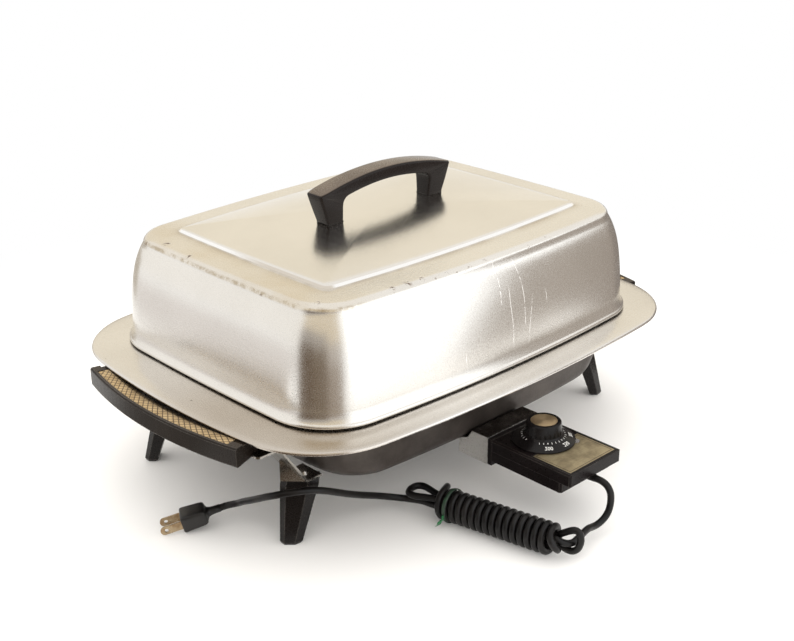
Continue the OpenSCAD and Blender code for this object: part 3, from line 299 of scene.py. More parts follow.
def make_tie():
    """Paper-thin coated tie: a ribbon round the hank and its two twisted tails."""
    r = WRAP_R + CORD_D / 2 + TIE_GAP
    rings = []
    for a in np.linspace(0, 2 * math.pi, 72, endpoint=False):
        wavy = r + 0.06 * math.sin(5 * a)
        half = TIE_HALF + 0.1 * math.sin(3 * a)
        section = [(-half, 0.0), (-half, 0.45), (-0.5, TIE_T), (0.5, TIE_T), (half, 0.45), (half, 0.0)]
        rings.append([from_hank((TIE_AT + s + 0.3 * math.sin(2 * a), (wavy + h) * math.cos(a),
                                 (wavy + h) * math.sin(a))) for s, h in section])
    rings.append(rings[0])
    band = loft("tie_band", rings)
    tails = []
    for k, (angle, slant) in enumerate(TAILS):
        rows = []
        for i in range(TAIL_STEPS + 1):
            t = i / TAIL_STEPS
            out = r + 0.4 + TAIL_L * t
            roll = 5 * t + k
            row = []
            for w, h in ((-1.5, -0.2), (1.5, -0.2), (1.5, 0.2), (-1.5, 0.2)):
                ds = w * math.cos(roll) - h * math.sin(roll)
                a = math.radians(angle) + (w * math.sin(roll) + h * math.cos(roll)) / out
                row.append(from_hank((TIE_AT + slant * 8 * t + ds * 0.6,
                                      -out * math.sin(a), out * math.cos(a))))
            rows.append(row)
        ends = [tuple(np.mean(row, axis=0)) for row in (rows[0], rows[-1])]
        tails.append(loft(f"tie_tail_{k + 1}", rows, *ends))
    for piece in [band] + tails:
        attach(piece, "control")
        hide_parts("twist_tie")
    return [band] + tails


# ---- pan ----
RIM_H, RIM_LOW, PAN_LOW, PAN_IN = 99.4, 96.4, 41.4, 44.9
WALL = 3.5
MOUTH = inset(LID, 7)  # the wall's outer line where it meets the brim
BASE_ROUND, UNDER_ROUND, MOUTH_ROUND = 12, 5, 4
SEAM = 12  # where the two pieces meet, inset from the rim
BRIM_EDGE = (  # inset from the rim's outline, height
    (SEAM, RIM_LOW), (7, 96.0), (3, 95.45), (1.6, 95.25), (0.6, 95.5), (0.12, 96.05), (0, 96.7),
    (0.2, 97.35), (0.8, 97.95), (1.7, 98.3), (5, 98.75), (9, 99.2), (12, RIM_H), (14, RIM_H))


def wall_line(z):
    return between(FLOOR, MOUTH, (z - PAN_LOW) / (RIM_LOW - PAN_LOW))


def make_pan():
    """Dark outer shell, and the brim in one with the pan's inside."""
    body = []
    for a in quarter_turn(10):
        z = PAN_LOW + BASE_ROUND * (1 - math.cos(a))
        body.append(ring(inset(wall_line(z), BASE_ROUND * (1 - math.sin(a))), z))
    for a in quarter_turn(8):
        z = RIM_LOW - UNDER_ROUND * (1 - math.sin(a))
        body.append(ring(inset(wall_line(z), -UNDER_ROUND * (1 - math.cos(a))), z))
    body.append(ring(inset(RIM, SEAM), RIM_LOW))
    brim = [ring(inset(RIM, d), z) for d, z in BRIM_EDGE]
    for a in quarter_turn(8):
        z = RIM_H - MOUTH_ROUND * (1 - math.cos(a))
        brim.append(ring(inset(wall_line(z), WALL - MOUTH_ROUND * (1 - math.sin(a))), z))
    for a in reversed(quarter_turn(10)):
        z = PAN_IN + (BASE_ROUND - WALL) * (1 - math.cos(a))
        brim.append(ring(inset(wall_line(z), WALL + (BASE_ROUND - WALL) * (1 - math.sin(a))), z))
    shell = loft("pan_body", body, (0, 0, PAN_LOW), None)
    top = loft("pan_brim", brim, None, (0, 0, PAN_IN))
    for piece, finish in ((shell, "pan_metal"), (top, "lid_metal")):
        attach(piece, "base")
        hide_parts("pan")
    return shell, top


# ---- lid ----
LID_LOW, WALL_LOW, WALL_TOP, BORDER, STEP_TOP = 100.5, 103.3, 180.5, 186.5, 189.5
WALL_H = WALL_TOP - WALL_LOW
LID_T = 1.5
PANEL = inset(LID, 46.7)
CROWN, CROWN_IN = 7.5, 5.5
FOOT_GAP = 0.3  # between the lid's foot and the brim
FOOT_OUT, FOOT_IN = 3.6, 6  # the foot's faces, inset from the lid's outline
ROLL_IN, ROLL_IN_REACH, ROLL_RISE, ROLL_REACH = 4.5, 1.15, 6, 6.9
LIP = (  # outset from the lid's outline, height
    (0.5, LID_LOW), (0.95, 100.7), (1.2, 101.3), (1.15, 102.2), (0.8, 102.95), (0.2, 103.4))
STEP = (  # outset from the panel's outline, height above the border
    (12, 0.25), (4.6, 0.5), (3.2, 0.62), (2.5, 0.85), (1.9, 1.3), (1.0, 2.1), (0.1, 2.9),
    (-0.5, 3.35), (-1.2, 3.7), (-2.2, 4.0))


def lean(u):
    """Inset of the wall at a share u of its height."""
    return 2.4 * min(1, u / 0.06) + 8 * u * u + 6 * u**6


def crown(s, rise=CROWN):
    """Height of the panel at a share s of the way from its centre to its outline."""
    return STEP_TOP + 1 + rise * (1 - s * s)


def make_lid():
    """Deep-drawn lid, from the inside's middle round the lip to the crown."""
    rings = [ring(PANEL, crown(s, CROWN_IN) - LID_T, s) for s in (0.3, 0.7)]
    rings += [ring(inset(PANEL, 2.4), STEP_TOP + 0.7 - LID_T),
              ring(inset(PANEL, -1), BORDER + 0.6 - LID_T)]
    for a in reversed(quarter_turn(6)):
        reach = ROLL_IN * (1 - math.cos(a)) * ROLL_IN_REACH
        rings.append(ring(inset(LID, lean(1) + LID_T + reach), WALL_TOP + ROLL_IN * math.sin(a)))
    for u in (0.85, 0.7, 0.55, 0.4, 0.25, 0.1):
        rings.append(ring(inset(LID, lean(u) + LID_T), WALL_LOW + WALL_H * u))
    foot = RIM_H + FOOT_GAP
    rings += [ring(inset(LID, d), z) for d, z in (
        (FOOT_IN, WALL_LOW), (FOOT_IN, foot), (FOOT_OUT, foot), (FOOT_OUT, LID_LOW))]
    rings += [ring(inset(LID, -d), z) for d, z in LIP]
    for i in range(25):
        u = 0.012 + 0.988 * (i / 24) ** 0.9
        rings.append(ring(inset(LID, lean(u)), WALL_LOW + WALL_H * u))
    for a in quarter_turn(10)[1:]:
        rings.append(ring(inset(LID, lean(1) + ROLL_REACH * (1 - math.cos(a))),
                          WALL_TOP + ROLL_RISE * math.sin(a)))
    rings += [ring(inset(PANEL, -d), BORDER + z) for d, z in STEP]
    for s in (0.97, 0.93, 0.85, 0.75, 0.62, 0.48, 0.34, 0.2, 0.08):
        rings.append(ring(inset(PANEL, 2.2), crown(s), s))
    lid = loft("lid_dome", rings, (0, 0, crown(0, CROWN_IN) - LID_T), (0, 0, crown(0)))
    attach(lid, "lid")
    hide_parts("lid_shell")
    return lid


GRIP_EDGE = 2.0


def make_grip():
    """Arched lid handle on two tapering posts, with all its long edges rounded."""
    def mirrored(half):
        return half + [(-x, z) for x, z in half[-2::-1]]

    def post(a, b, n=10):
        return [(a[0] + (b[0] - a[0]) * i / n, a[1] + (b[1] - a[1]) * i / n) for i in range(n)]

    def arch(start, spring, rise, half_span):
        return [(x, spring + rise * (1 - (x / half_span) ** 2)) for x in np.linspace(start, 0, 22)]

    outer = mirrored(
        post((-62.5, 196.3), (-70.7, 220.0))
        + [(-70.9, 220.8), (-70.8, 221.7), (-70.3, 222.4), (-69.3, 222.8)]
        + arch(-67.5, 222.3, 10.2, 71))
    inner = mirrored(
        post((-46.5, 197.0), (-47.3, 210.6))
        + [(-47.1, 212.5), (-46.2, 214.6), (-44.7, 216.3), (-42.6, 217.4)]
        + arch(-40.2, 216.5, 5.9, 46.5))
    count = len(outer)
    loop = np.array(outer + inner[::-1])
    along = np.roll(loop, -1, axis=0) - np.roll(loop, 1, axis=0)
    along /= np.linalg.norm(along, axis=1)[:, None]
    inward = np.array([along[:, 1], -along[:, 0]]).T
    inward[[0, count - 1, count, -1], 1] = 0.0

    def half_width(x, z):
        """Less at the posts' feet, on the arch and past the posts."""
        w = 7 + 3 * min(1.0, (z - 194.5) / 27)
        w -= 0.8 * max(0.0, (z - 228) / 6)
        return w - 1.6 * max(0.0, (abs(x) - 62) / 9) ** 2

    rings = []
    turns = quarter_turn(5)
    for side, order in ((-1, turns), (1, turns[::-1])):
        for a in order:
            flat = loop + inward * GRIP_EDGE * (1 - math.sin(a))
            rings.append([(x, side * (half_width(x, z) - GRIP_EDGE * (1 - math.cos(a))), z)
                          for x, z in flat])
    total = len(loop)
    points = [p for row in rings for p in row]
    faces = []
    for i in range(len(rings) - 1):
        for j in range(total):
            a, b = i * total + j, i * total + (j + 1) % total
            faces.append((a, a + total, b + total, b))
    top = (len(rings) - 1) * total
    for i in range(count - 1):
        a, b, c, d = i, i + 1, total - 2 - i, total - 1 - i
        faces.append((a, b, c, d))
        faces.append((top + d, top + c, top + b, top + a))
    grip = add_mesh("lid_grip", points, faces)
    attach(grip, "lid")
    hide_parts("lid_handle")
    return grip


# ---- side handles ----
BAIL_R, BAIL_CX, BAIL_LOW = 366, 129, 84.1  # outer radius, its centre, underside
OUTER_DROP, NEAR_EDGE = 3.2, 3
LATTICE_SPAN = math.radians(11.7)
FOIL = 0.12  # thickness of foil and paint


def make_handles():
    """Side handles whose outer face runs lower than the screwed inner part."""
    pieces = []
    for side, name in ((-1, "handle_left"), (1, "handle_right")):
        source = NODES[name]
        points = []
        for vertex in source.data.vertices:
            x, y, z = (c / MM for c in source.matrix_world @ vertex.co)
            radius = math.hypot(x + side * BAIL_CX, y)
            if radius > BAIL_R - NEAR_EDGE and z < BAIL_LOW + NEAR_EDGE:
                z -= OUTER_DROP
            points.append((x, y, z))
        faces = [tuple(f.vertices) for f in source.data.polygons]
        moulding = add_mesh(name + "_moulding", points, faces, smooth=False)
        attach(moulding, "base")
        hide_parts(name)
        pieces.append(moulding)
    return pieces


def make_slopes():
    """Foil that carries the lattice on down the scoop behind each insert."""
    pieces = []
    section = ((345.5, 91.75), (348.5, 93.0), (351.0, 94.1), (353.9, 95.1))  # radius, height
    for side, name in ((-1, "lattice_slope_left"), (1, "lattice_slope_right")):
        points, faces = [], []
        angles = np.linspace(-LATTICE_SPAN, LATTICE_SPAN, 49)
        for lift in (0.0, FOIL):
            for a in angles:
                points += [(side * (radius * math.cos(a) - BAIL_CX), radius * math.sin(a), z + lift)
                           for radius, z in section]
        n, rows = len(section), len(angles)
        for level in (0, rows * n):
            for i in range(rows - 1):
                for j in range(n - 1):
                    a = level + i * n + j
                    quad = (a, a + 1, a + n + 1, a + n)
                    faces.append(quad if (level > 0) == (side > 0) else quad[::-1])
        slope = add_mesh(name, points, faces)
        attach(slope, "base")
        pieces.append(slope)
    return pieces


# ---- dial marks ----
DIAL_AT = (0, -178)
CONE = ((24.5, 53.0), (15.4, 57.1))  # radius and height at the skirt's edge and at its top
NUMBER_SIZE, NUMBER_R, NUMBER_FROM, NUMBER_STEP = 4.2, 20.6, -128, 44
TICKS, TICK_FROM, TICK_STEP, TICK_R = 30, -150, 11, 15.9


def on_cone(radius, angle):
    (r0, z0), (r1, z1) = CONE
    z = z0 + (z1 - z0) * (r0 - radius) / (r0 - r1) + FOIL
    return (DIAL_AT[0] + radius * math.cos(angle), DIAL_AT[1] + radius * math.sin(angle), z)


def make_marks():
    """Temperature numbers and ticks, laid on the cone of the dial's skirt."""
    marks = []
    for k, label in enumerate(("200", "250", "300", "350", "400")):
        curve = bpy.data.curves.new("number", "FONT")
        curve.body = label
        curve.size = NUMBER_SIZE
        curve.align_x = curve.align_y = "CENTER"
        curve.resolution_u = 3
        holder = placed("number", curve)
        bpy.context.view_layer.update()
        flat = bpy.data.meshes.new_from_object(
            holder.evaluated_get(bpy.context.evaluated_depsgraph_get()))
        bpy.data.objects.remove(holder)
        centre = math.radians(NUMBER_FROM + NUMBER_STEP * k)
        points = [on_cone(NUMBER_R + v.co.y, centre + v.co.x / NUMBER_R) for v in flat.vertices]
        faces = [tuple(f.vertices) for f in flat.polygons]
        marks.append(add_mesh(f"dial_number_{k + 1}", points, faces, smooth=False))
    points, faces = [], []
    for k in range(TICKS):
        a = math.radians(TICK_FROM + TICK_STEP * k)
        end, half = (17.0, 0.014) if k % 4 == 2 else (17.4, 0.009)
        n = len(points)
        points += [on_cone(TICK_R, a - half), on_cone(end, a - half),
                   on_cone(end, a + half), on_cone(TICK_R, a + half)]
        faces.append((n, n + 1, n + 2, n + 3))
    marks.append(add_mesh("dial_ticks", points, faces, smooth=False))
    for piece in marks:
        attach(piece, "dial")
    return marks


# ---- materials ----
class Look:
    """A Principled material and short calls for the nodes that shape it."""

    def __init__(self, name, metal=0.0, coat=0.0):
        self.mat = bpy.data.materials.new(name)
        self.mat.use_nodes = True
        self.tree = self.mat.node_tree
        self.shader = self.tree.nodes["Principled BSDF"]
        self.set("Metallic", metal)
        self.set("Coat Weight", coat)
        self.set("Coat Roughness", 0.15)
        self.place = self.add("TexCoord").outputs["Object"]

    def add(self, kind, **props):
        node = self.tree.nodes.new("ShaderNode" + kind)
        for key, value in props.items():
            setattr(node, key, value)
        return node

    def put(self, value, socket):
        if isinstance(value, bpy.types.NodeSocket):
            self.tree.links.new(value, socket)
        else:
            socket.default_value = value

    def math(self, operation, a, b=0.0, c=0.0):
        node = self.add("Math", operation=operation)
        for value, socket in zip((a, b, c), node.inputs):
            self.put(value, socket)
        return node.outputs[0]

    def times(self, total, *others):
        for value in others:
            total = self.math("MULTIPLY", total, value)
        return total

    def most(self, total, *others):
        for value in others:
            total = self.math("MAXIMUM", total, value)
        return total

    def length(self, a, b):
        return self.math("SQRT", self.math("ADD", self.times(a, a), self.times(b, b)))

    def stretched(self, scale):
        node = self.add("VectorMath", operation="MULTIPLY")
        self.put(self.place, node.inputs[0])
        node.inputs[1].default_value = scale
        return node.outputs[0]

    def noise(self, scale, detail=3, rough=0.5, vector=None):
        node = self.add("TexNoise")
        self.put(self.place if vector is None else vector, node.inputs["Vector"])
        node.inputs["Scale"].default_value = scale
        node.inputs["Detail"].default_value = detail
        node.inputs["Roughness"].default_value = rough
        return node.outputs["Fac"]

    def ranged(self, value, low, high, to_low=0.0, to_high=1.0):
        node = self.add("MapRange", interpolation_type="SMOOTHSTEP")
        for v, socket in zip((value, low, high, to_low, to_high), node.inputs):
            self.put(v, socket)
        return node.outputs["Result"]

    def about(self, value, centre, outer, inner):
        """1 within inner of the centre, falling to 0 at outer."""
        return self.ranged(self.math("ABSOLUTE", self.math("SUBTRACT", value, centre)), outer, inner)

    def mix(self, factor, a, b):
        node = self.add("Mix", data_type="RGBA")
        self.put(factor, node.inputs["Factor"])
        for value, name in ((a, "A"), (b, "B")):
            socket = [s for s in node.inputs if s.name == name and s.type == "RGBA"][0]
            self.put(value if isinstance(value, bpy.types.NodeSocket) else (*value, 1), socket)
        return [s for s in node.outputs if s.type == "RGBA"][0]

    def axes(self, vector=None):
        node = self.add("SeparateXYZ")
        self.put(self.place if vector is None else vector, node.inputs[0])
        return node.outputs["X"], node.outputs["Y"], node.outputs["Z"]

    def facing_up(self):
        return self.axes(self.add("TexCoord").outputs["Normal"])[2]

    def rounded(self, radius):
        """The normal, as if edges were rounded by a radius."""
        node = self.add("Bevel", samples=4)
        node.inputs["Radius"].default_value = radius
        return node.outputs[0]

    def linked(self, name):
        return self.shader.inputs[name].links[0].from_socket

    def colour(self, value):
        socket = self.shader.inputs["Base Color"]
        self.put(value if isinstance(value, bpy.types.NodeSocket) else (*value, 1), socket)

    def set(self, name, value):
        self.put(value, self.shader.inputs[name])

    def bump(self, height, depth, soft=0.0):
        node = self.add("Bump")
        node.inputs["Strength"].default_value = 1.0
        node.inputs["Distance"].default_value = depth
        self.put(height, node.inputs["Height"])
        if soft:
            self.put(self.rounded(soft), node.inputs["Normal"])
        self.put(node.outputs["Normal"], self.shader.inputs["Normal"])

    def near(self, point, radius):
        """1 at a point, falling to 0 at a radius; both in millimetres."""
        node = self.add("VectorMath", operation="DISTANCE")
        self.put(self.place, node.inputs[0])
        node.inputs[1].default_value = [c * MM for c in point]
        return self.ranged(node.outputs["Value"], radius * MM, 0.0)


def satin_metal(name, light, dull, rough=(0.2, 0.31), soft=0.0):
    """Satin aluminium: cloudy tone, fine grain and faint lines from rubbing."""
    look = Look(name, metal=1.0)
    fine = look.noise(1400, 2, 0.6)
    rubbed_lines_and_edge_light = look.noise(700, 2, 0.6, look.stretched((1, 0.06, 1)))
    base = look.mix(look.ranged(look.noise(14, 4), 0.35, 0.68), light, dull)
    look.colour(look.mix(look.ranged(fine, 0.35, 0.75, 0.0, 0.2), base, tuple(0.8 * c for c in dull)))
    tone = look.math("ADD", look.times(fine, 0.8), look.times(rubbed_lines_and_edge_light, 0.2))
    look.set("Roughness", look.ranged(tone, 0.3, 0.7, *rough))
    look.bump(tone, 0.00004, soft)
    return look


GRIME_Z = 184
GRIME = (  # x, y and radius of the grimy spots on the lid's top edge
    (-165.9, 92.7, 3.5), (-159, 72.7, 6), (-162.1, 38, 5), (-154, -101, 5), (-98.9, -116.6, 5),
    (-84.7, -117.2, 6), (-71.6, -118.2, 5), (-30, -119, 3), (142.8, -105.4, 4))
SCRATCHES = (  # x in mm, slant, bend in mm, foot and head in metres, half width in mm
    (-21, 0.10, 1.5, 0.148, 0.186, 0.45), (1, 0.04, -1.5, 0.112, 0.165, 0.4),
    (34, -0.09, 1.2, 0.125, 0.183, 0.42), (11, 0.13, 0.8, 0.110, 0.152, 0.4),
    (-41, -0.02, 1.0, 0.107, 0.128, 0.4), (76, -0.2, 1.5, 0.138, 0.152, 0.35))
SCRATCH_FADE = 0.006  # metres, as the heights below
# the step between STEP_FOOT and STEP_HEAD carries a painted highlight
EDGE_Z, STEP_FOOT, STEP_HEAD, STEP_SOFT = 0.1835, 0.1874, 0.1898, 0.0006
# below these heights the lip's underside is painted with shade
LIP_Z, LIP_DARK_Z = 0.1010, 0.1006


def grime_share(look, z):
    """Dark flecks in the grimy spots, and crumbs all along the top edge."""
    spots = look.most(*[look.near((x, y, GRIME_Z), size) for x, y, size in GRIME])
    flecks = look.times(look.ranged(spots, 0.1, 0.55), look.ranged(look.noise(430, 3, 0.6), 0.46, 0.56))
    crumbs = look.times(look.ranged(look.noise(160, 4, 0.7), 0.63, 0.7),
                        look.about(z, EDGE_Z, 0.0035, 0.0005), 0.8)
    return look.most(flecks, crumbs)


def scratch_share(look, x, y, z):
    """Upright scratches on the lid's front wall, broken up by noise."""
    lines = []
    for x0, slant, bend, foot, head, width in SCRATCHES:
        wave = look.times(look.math("SINE", look.times(z, 90.0)), bend * MM)
        centre = look.math("ADD", look.math("MULTIPLY_ADD", z, slant, x0 * MM), wave)
        lines.append(look.times(look.about(x, centre, width * MM, width * MM * 0.3),
                                look.ranged(z, foot, foot + SCRATCH_FADE),
                                look.ranged(z, head, head - SCRATCH_FADE)))
    return look.times(look.most(*lines), look.ranged(y, -0.10, -0.115),
                      look.ranged(look.noise(260, 2), 0.35, 0.5))


def lid_look():
    """Lid satin: tan border and film at the left, a painted highlight on the step, painted shade round the
    step's foot, on its left front and under the lip, grime and scratches.
    """
    look = satin_metal("lid_satin", (0.87, 0.84, 0.79), (0.82, 0.79, 0.74))
    x, y, z = look.axes()
    base, rough = look.linked("Base Color"), look.linked("Roughness")
    grime, wear_and_edge_light = grime_share(look, z), scratch_share(look, x, y, z)
    film = look.times(look.ranged(look.noise(150, 4, 0.7), 0.38, 0.62), look.ranged(x, -0.118, -0.150),
                      look.about(z, 0.1832, 0.0020, 0.0005), 0.6)
    # painted shade: a dark brownish line round the foot of the step
    foot = look.times(look.about(z, 0.18745, 0.0007, 0.0002),
                      look.ranged(look.noise(25, 3, 0.6), 0.3, 0.6, 0.35, 0.9), 0.6)
    tan = look.times(look.ranged(look.noise(22, 4, 0.6), 0.3, 0.7, 0.35, 0.9),
                     look.ranged(x, -0.105, -0.150), look.ranged(z, 0.1805, EDGE_Z),
                     look.ranged(z, STEP_FOOT, STEP_FOOT - STEP_SOFT), 0.55)
    # painted highlight: the step's slope is painted white
    step = look.times(look.ranged(z, STEP_FOOT, STEP_FOOT + STEP_SOFT),
                      look.ranged(z, STEP_HEAD, STEP_HEAD - STEP_SOFT))
    # painted shade: the step's highlight turns dim on the front half of its left side
    dull = look.times(step, look.ranged(x, -0.128, -0.133), look.ranged(y, 0.03, -0.03), 0.6)
    # painted shade under the lip, where the lid meets the brim
    under = look.times(look.ranged(z, LIP_Z, LIP_DARK_Z), 0.66)
    # in order: tan border; the step's painted highlight; painted shade on its left front; film, and painted
    # shade at the step's foot; painted shade under the lip; scratches; grime
    for share, tone in (
            (tan, (0.66, 0.55, 0.38)), (look.times(step, 0.9), (1.0, 1.0, 1.0)), (dull, (0.50, 0.41, 0.29)),
            (look.most(film, foot), (0.36, 0.27, 0.15)), (under, (0.06, 0.055, 0.052)),
            (look.times(wear_and_edge_light, 0.8), (0.93, 0.92, 0.9)), (grime, (0.10, 0.06, 0.035))):
        base = look.mix(share, base, tone)
    look.colour(base)
    matt = look.most(look.times(grime, 0.85), look.times(wear_and_edge_light, 0.6))
    look.set("Metallic", look.math("SUBTRACT", 1.0, matt))
    rough = look.times(rough, look.ranged(z, 0.1865, 0.1895, 1.0, 0.78))
    look.set("Roughness", look.most(rough, look.times(grime, 0.75)))
    return look


def dark_plastic(name, tone, rough=0.28, soft=0.0012, shine=0.15, dust_and_sheen=None, wear_and_edge_light=0.0):
    """Black moulding: cloudy tone, a paler tint on what faces up (a dusting on the handles, a painted sheen
    on the grip), and painted highlights along the edges.
    """
    look = Look(name)
    look.set("Specular IOR Level", shine)
    cloud = look.noise(45, 4)
    fine = look.noise(900, 3, 0.6)
    light = tuple(c * 1.7 + 0.004 for c in tone)
    base = look.mix(look.times(look.ranged(cloud, 0.4, 0.75), 0.35), tone, light)
    # paler tint on what faces up: a dusting on the handles, a painted sheen on the grip
    if dust_and_sheen:
        dust_and_sheen_share = look.times(look.ranged(look.facing_up(), 0.75, 0.97),
                           look.ranged(cloud, 0.2, 0.7, 0.6, 1.0))
        base = look.mix(dust_and_sheen_share, base, dust_and_sheen)
    # painted highlights along the edges, where the rounded normal turns away from the true one
    if wear_and_edge_light:
        same = look.add("VectorMath", operation="DOT_PRODUCT")
        look.put(look.rounded(wear_and_edge_light), same.inputs[0])
        look.put(look.add("NewGeometry").outputs["Normal"], same.inputs[1])
        rubbed_lines_and_edge_light = look.times(look.ranged(same.outputs["Value"], 0.995, 0.94),
                            look.ranged(cloud, 0.3, 0.6, 0.3, 1.0), 0.6)
        base = look.mix(rubbed_lines_and_edge_light, base, (0.15, 0.135, 0.12))
    look.colour(base)
    look.set("Roughness", look.ranged(fine, 0.3, 0.7, rough * 0.85, rough * 1.25))
    look.bump(fine, 0.00003, soft)
    return look


# centre and reach, in mm, of the brim's darker tan patch
DARKENS_AT, DARKENS_R = (-222, -88, 98), 175


def brim_look():
    """The brim's satin, turning a darker tan towards a point near its left front end, with a few scuffs."""
    look = satin_metal("brim_satin", (0.84, 0.81, 0.77), (0.78, 0.75, 0.71))
    dull = look.times(look.near(DARKENS_AT, DARKENS_R),
                      look.ranged(look.noise(9, 3), 0.3, 0.7, 0.6, 1.0), 0.95)
    base = look.mix(dull, look.linked("Base Color"), (0.50, 0.43, 0.35))
    scuff = look.ranged(look.noise(230, 3, 0.6, look.stretched((1, 0.35, 1))), 0.735, 0.76)
    look.colour(look.mix(look.times(scuff, 0.7), base, (0.12, 0.10, 0.08)))
    return look


def shroud_look():
    """Bare aluminium with painted shade, near black, on what faces up, where it lies under the brim."""
    look = satin_metal("shroud_satin", (0.80, 0.78, 0.75), (0.62, 0.60, 0.57), (0.22, 0.34), soft=0.0006)
    # painted shade: faces that look up lie in the brim's shadow
    shaded_top = look.times(look.ranged(look.facing_up(), 0.5, 0.9),
                       look.ranged(look.noise(60, 4), 0.3, 0.6, 0.75, 0.95))
    look.colour(look.mix(shaded_top, look.linked("Base Color"), (0.05, 0.04, 0.032)))
    return look


def body_look():
    """The pan's dark, slightly uneven outer wall."""
    look = Look("pan_dark", metal=0.55)
    cloud = look.noise(30, 5, 0.6)
    fine = look.noise(800, 3, 0.6)
    look.colour(look.mix(look.ranged(cloud, 0.3, 0.7), (0.045, 0.036, 0.031), (0.085, 0.071, 0.062)))
    look.set("Roughness", look.ranged(fine, 0.3, 0.7, 0.36, 0.5))
    look.bump(look.math("ADD", fine, look.times(cloud, 0.5)), 0.00006)
    return look


LATTICE_R, CELL_LONG, CELL_WIDE = 358.5, 6.2, 4.6
SCOOP_SHADE = (0.3475, 0.3595)  # radii in metres, dark to light


def lattice_look(side):
    """Gold foil with a woven diamond lattice that follows the handle's curve."""
    look = Look("lattice_right" if side > 0 else "lattice_left", metal=0.8)
    x, y, _ = look.axes()
    dx = look.math("SUBTRACT", x, -BAIL_CX * MM * side)
    radius = look.length(dx, y)
    angle = look.math("ARCTAN2", y, look.times(dx, side))
    u = look.times(angle, LATTICE_R / CELL_LONG)
    v = look.times(look.math("SUBTRACT", radius, 0.3542), 1000 / CELL_WIDE)
    first = look.math("PINGPONG", look.math("ADD", u, v), 0.5)
    second = look.math("PINGPONG", look.math("SUBTRACT", u, v), 0.5)
    wire = look.ranged(look.math("MINIMUM", first, second), 0.045, 0.12)
    wear = look.noise(120, 4, 0.6)
    gold = look.mix(look.ranged(wear, 0.35, 0.7), (0.66, 0.49, 0.27), (0.50, 0.36, 0.19))
    lit = look.mix(wire, (0.13, 0.085, 0.05), gold)
    shade = look.ranged(radius, *SCOOP_SHADE)
    look.colour(look.mix(shade, (0.05, 0.035, 0.02), lit))
    look.set("Roughness", look.ranged(wear, 0.3, 0.7, 0.28, 0.5))
    look.bump(wire, 0.0003)
    return look


PLATE_HALF, PLATE_Y = (0.0258, 0.0178), -0.208  # metres


def plate_look():
    """Aged plate, bare but for a thin line near its edge."""
    look = Look("plate_aged", metal=0.75)
    x, y, _ = look.axes()
    in_x = look.math("SUBTRACT", PLATE_HALF[0], look.math("ABSOLUTE", x))
    in_y = look.math("SUBTRACT", PLATE_HALF[1], look.math("ABSOLUTE", look.math("ADD", y, -PLATE_Y)))
    margin = look.math("MINIMUM", in_x, in_y)
    line = look.times(look.ranged(margin, 0.0011, 0.0014), look.ranged(margin, 0.0021, 0.0018), 0.8)
    wear = look.noise(90, 5, 0.65)
    brushed = look.noise(900, 2, 0.6, look.stretched((0.05, 1, 1)))
    gold = look.mix(look.ranged(wear, 0.38, 0.66), (0.42, 0.345, 0.21), (0.26, 0.21, 0.125))
    look.colour(look.mix(line, gold, (0.07, 0.05, 0.035)))
    look.set("Roughness", look.ranged(brushed, 0.3, 0.7, 0.3, 0.5))
    look.bump(brushed, 0.00004)
    return look


def simple(name, a, b, rough, metal=0.0, scale=60, grain=700, depth=0.00003, coat=0.0):
    """A cloudy mix of two tones with a fine grain."""
    look = Look(name, metal=metal, coat=coat)
    look.colour(look.mix(look.ranged(look.noise(scale, 4), 0.35, 0.68), a, b))
    fine = look.noise(grain, 3, 0.6)
    look.set("Roughness", look.ranged(fine, 0.3, 0.7, rough * 0.85, rough * 1.2))
    look.bump(fine, depth)
    return look


def cap_look():
    """Dial cap: peach gold, turned in fine circles."""
    look = Look("cap_gold", metal=0.9)
    x, y, _ = look.axes()
    radius = look.length(x, look.math("ADD", y, -DIAL_AT[1] * MM))
    rings = look.math("SINE", look.times(radius, 14000.0))
    cloud = look.ranged(look.noise(80, 3), 0.4, 0.65)
    look.colour(look.mix(cloud, (0.56, 0.415, 0.245), (0.47, 0.345, 0.20)))
    look.set("Roughness", look.ranged(rings, -1.0, 1.0, 0.28, 0.4))
    look.bump(rings, 0.00003)
    return look


def lens_look():
    look = simple("lens_clear", (0.42, 0.40, 0.38), (0.5, 0.47, 0.44), 0.14, coat=0.4)
    look.set("Transmission Weight", 0.6)
    return look


def cord_look():
    look = simple("cord_matt", (0.004, 0.0034, 0.0034), (0.010, 0.0085, 0.008), 0.33, scale=50, grain=500)
    look.set("Specular IOR Level", 0.25)
    return look


BY_NODE = {
    "heating_element": "sheath", "terminal_pins": "steel", "probe_socket": "body",
    "shroud": "shroud", "shroud_rivets": "steel", "handle_bosses": "body",
    "handle_insert_left": "lattice_left", "handle_insert_right": "lattice_right",
    "handle_screws": "steel", "foot_screws": "steel", "lid_handle_screws": "steel",
    "control_base": "control", "control_cover": "control", "control_screws": "steel",
    "label_plate": "plate", "pilot_lens": "lens", "pilot_lamp": "lamp", "sensor_probe": "steel",
    "contact_sleeves": "brass", "thermostat_frame": "ceramic", "thermostat_blade": "steel",
    "strain_relief": "cord", "plug_blades": "blades", "dial_knob": "dial", "dial_cap": "cap",
    "dial_shaft": "steel"}


def dress(pieces, looks):
    lid, (shell, top), cord, plug, tie, marks, grip, handles, slopes = pieces
    pairs = [(cord, "cord"), (plug, "plug"), (shell, "body"), (top, "brim"), (lid, "lid"), (grip, "grip"),
             (slopes[0], "lattice_left"), (slopes[1], "lattice_right"), (tie[0], "band")]
    pairs += [(piece, "tie") for piece in tie[1:]]
    pairs += [(piece, "handle") for piece in handles]
    pairs += [(piece, "paint") for piece in marks]
    for piece, key in pairs:
        piece.data.materials.append(looks[key].mat)
    for name, obj in NODES.items():
        key = BY_NODE.get(name)
        if name.startswith("bracket"):
            key = "bracket"
        if name.startswith("foot_") and name != "foot_screws":
            key = "foot"
        if key is None:
            continue
        if not obj.data.materials:
            obj.data.materials.append(looks[key].mat)
        for slot in obj.material_slots:
            slot.material = looks[key].mat


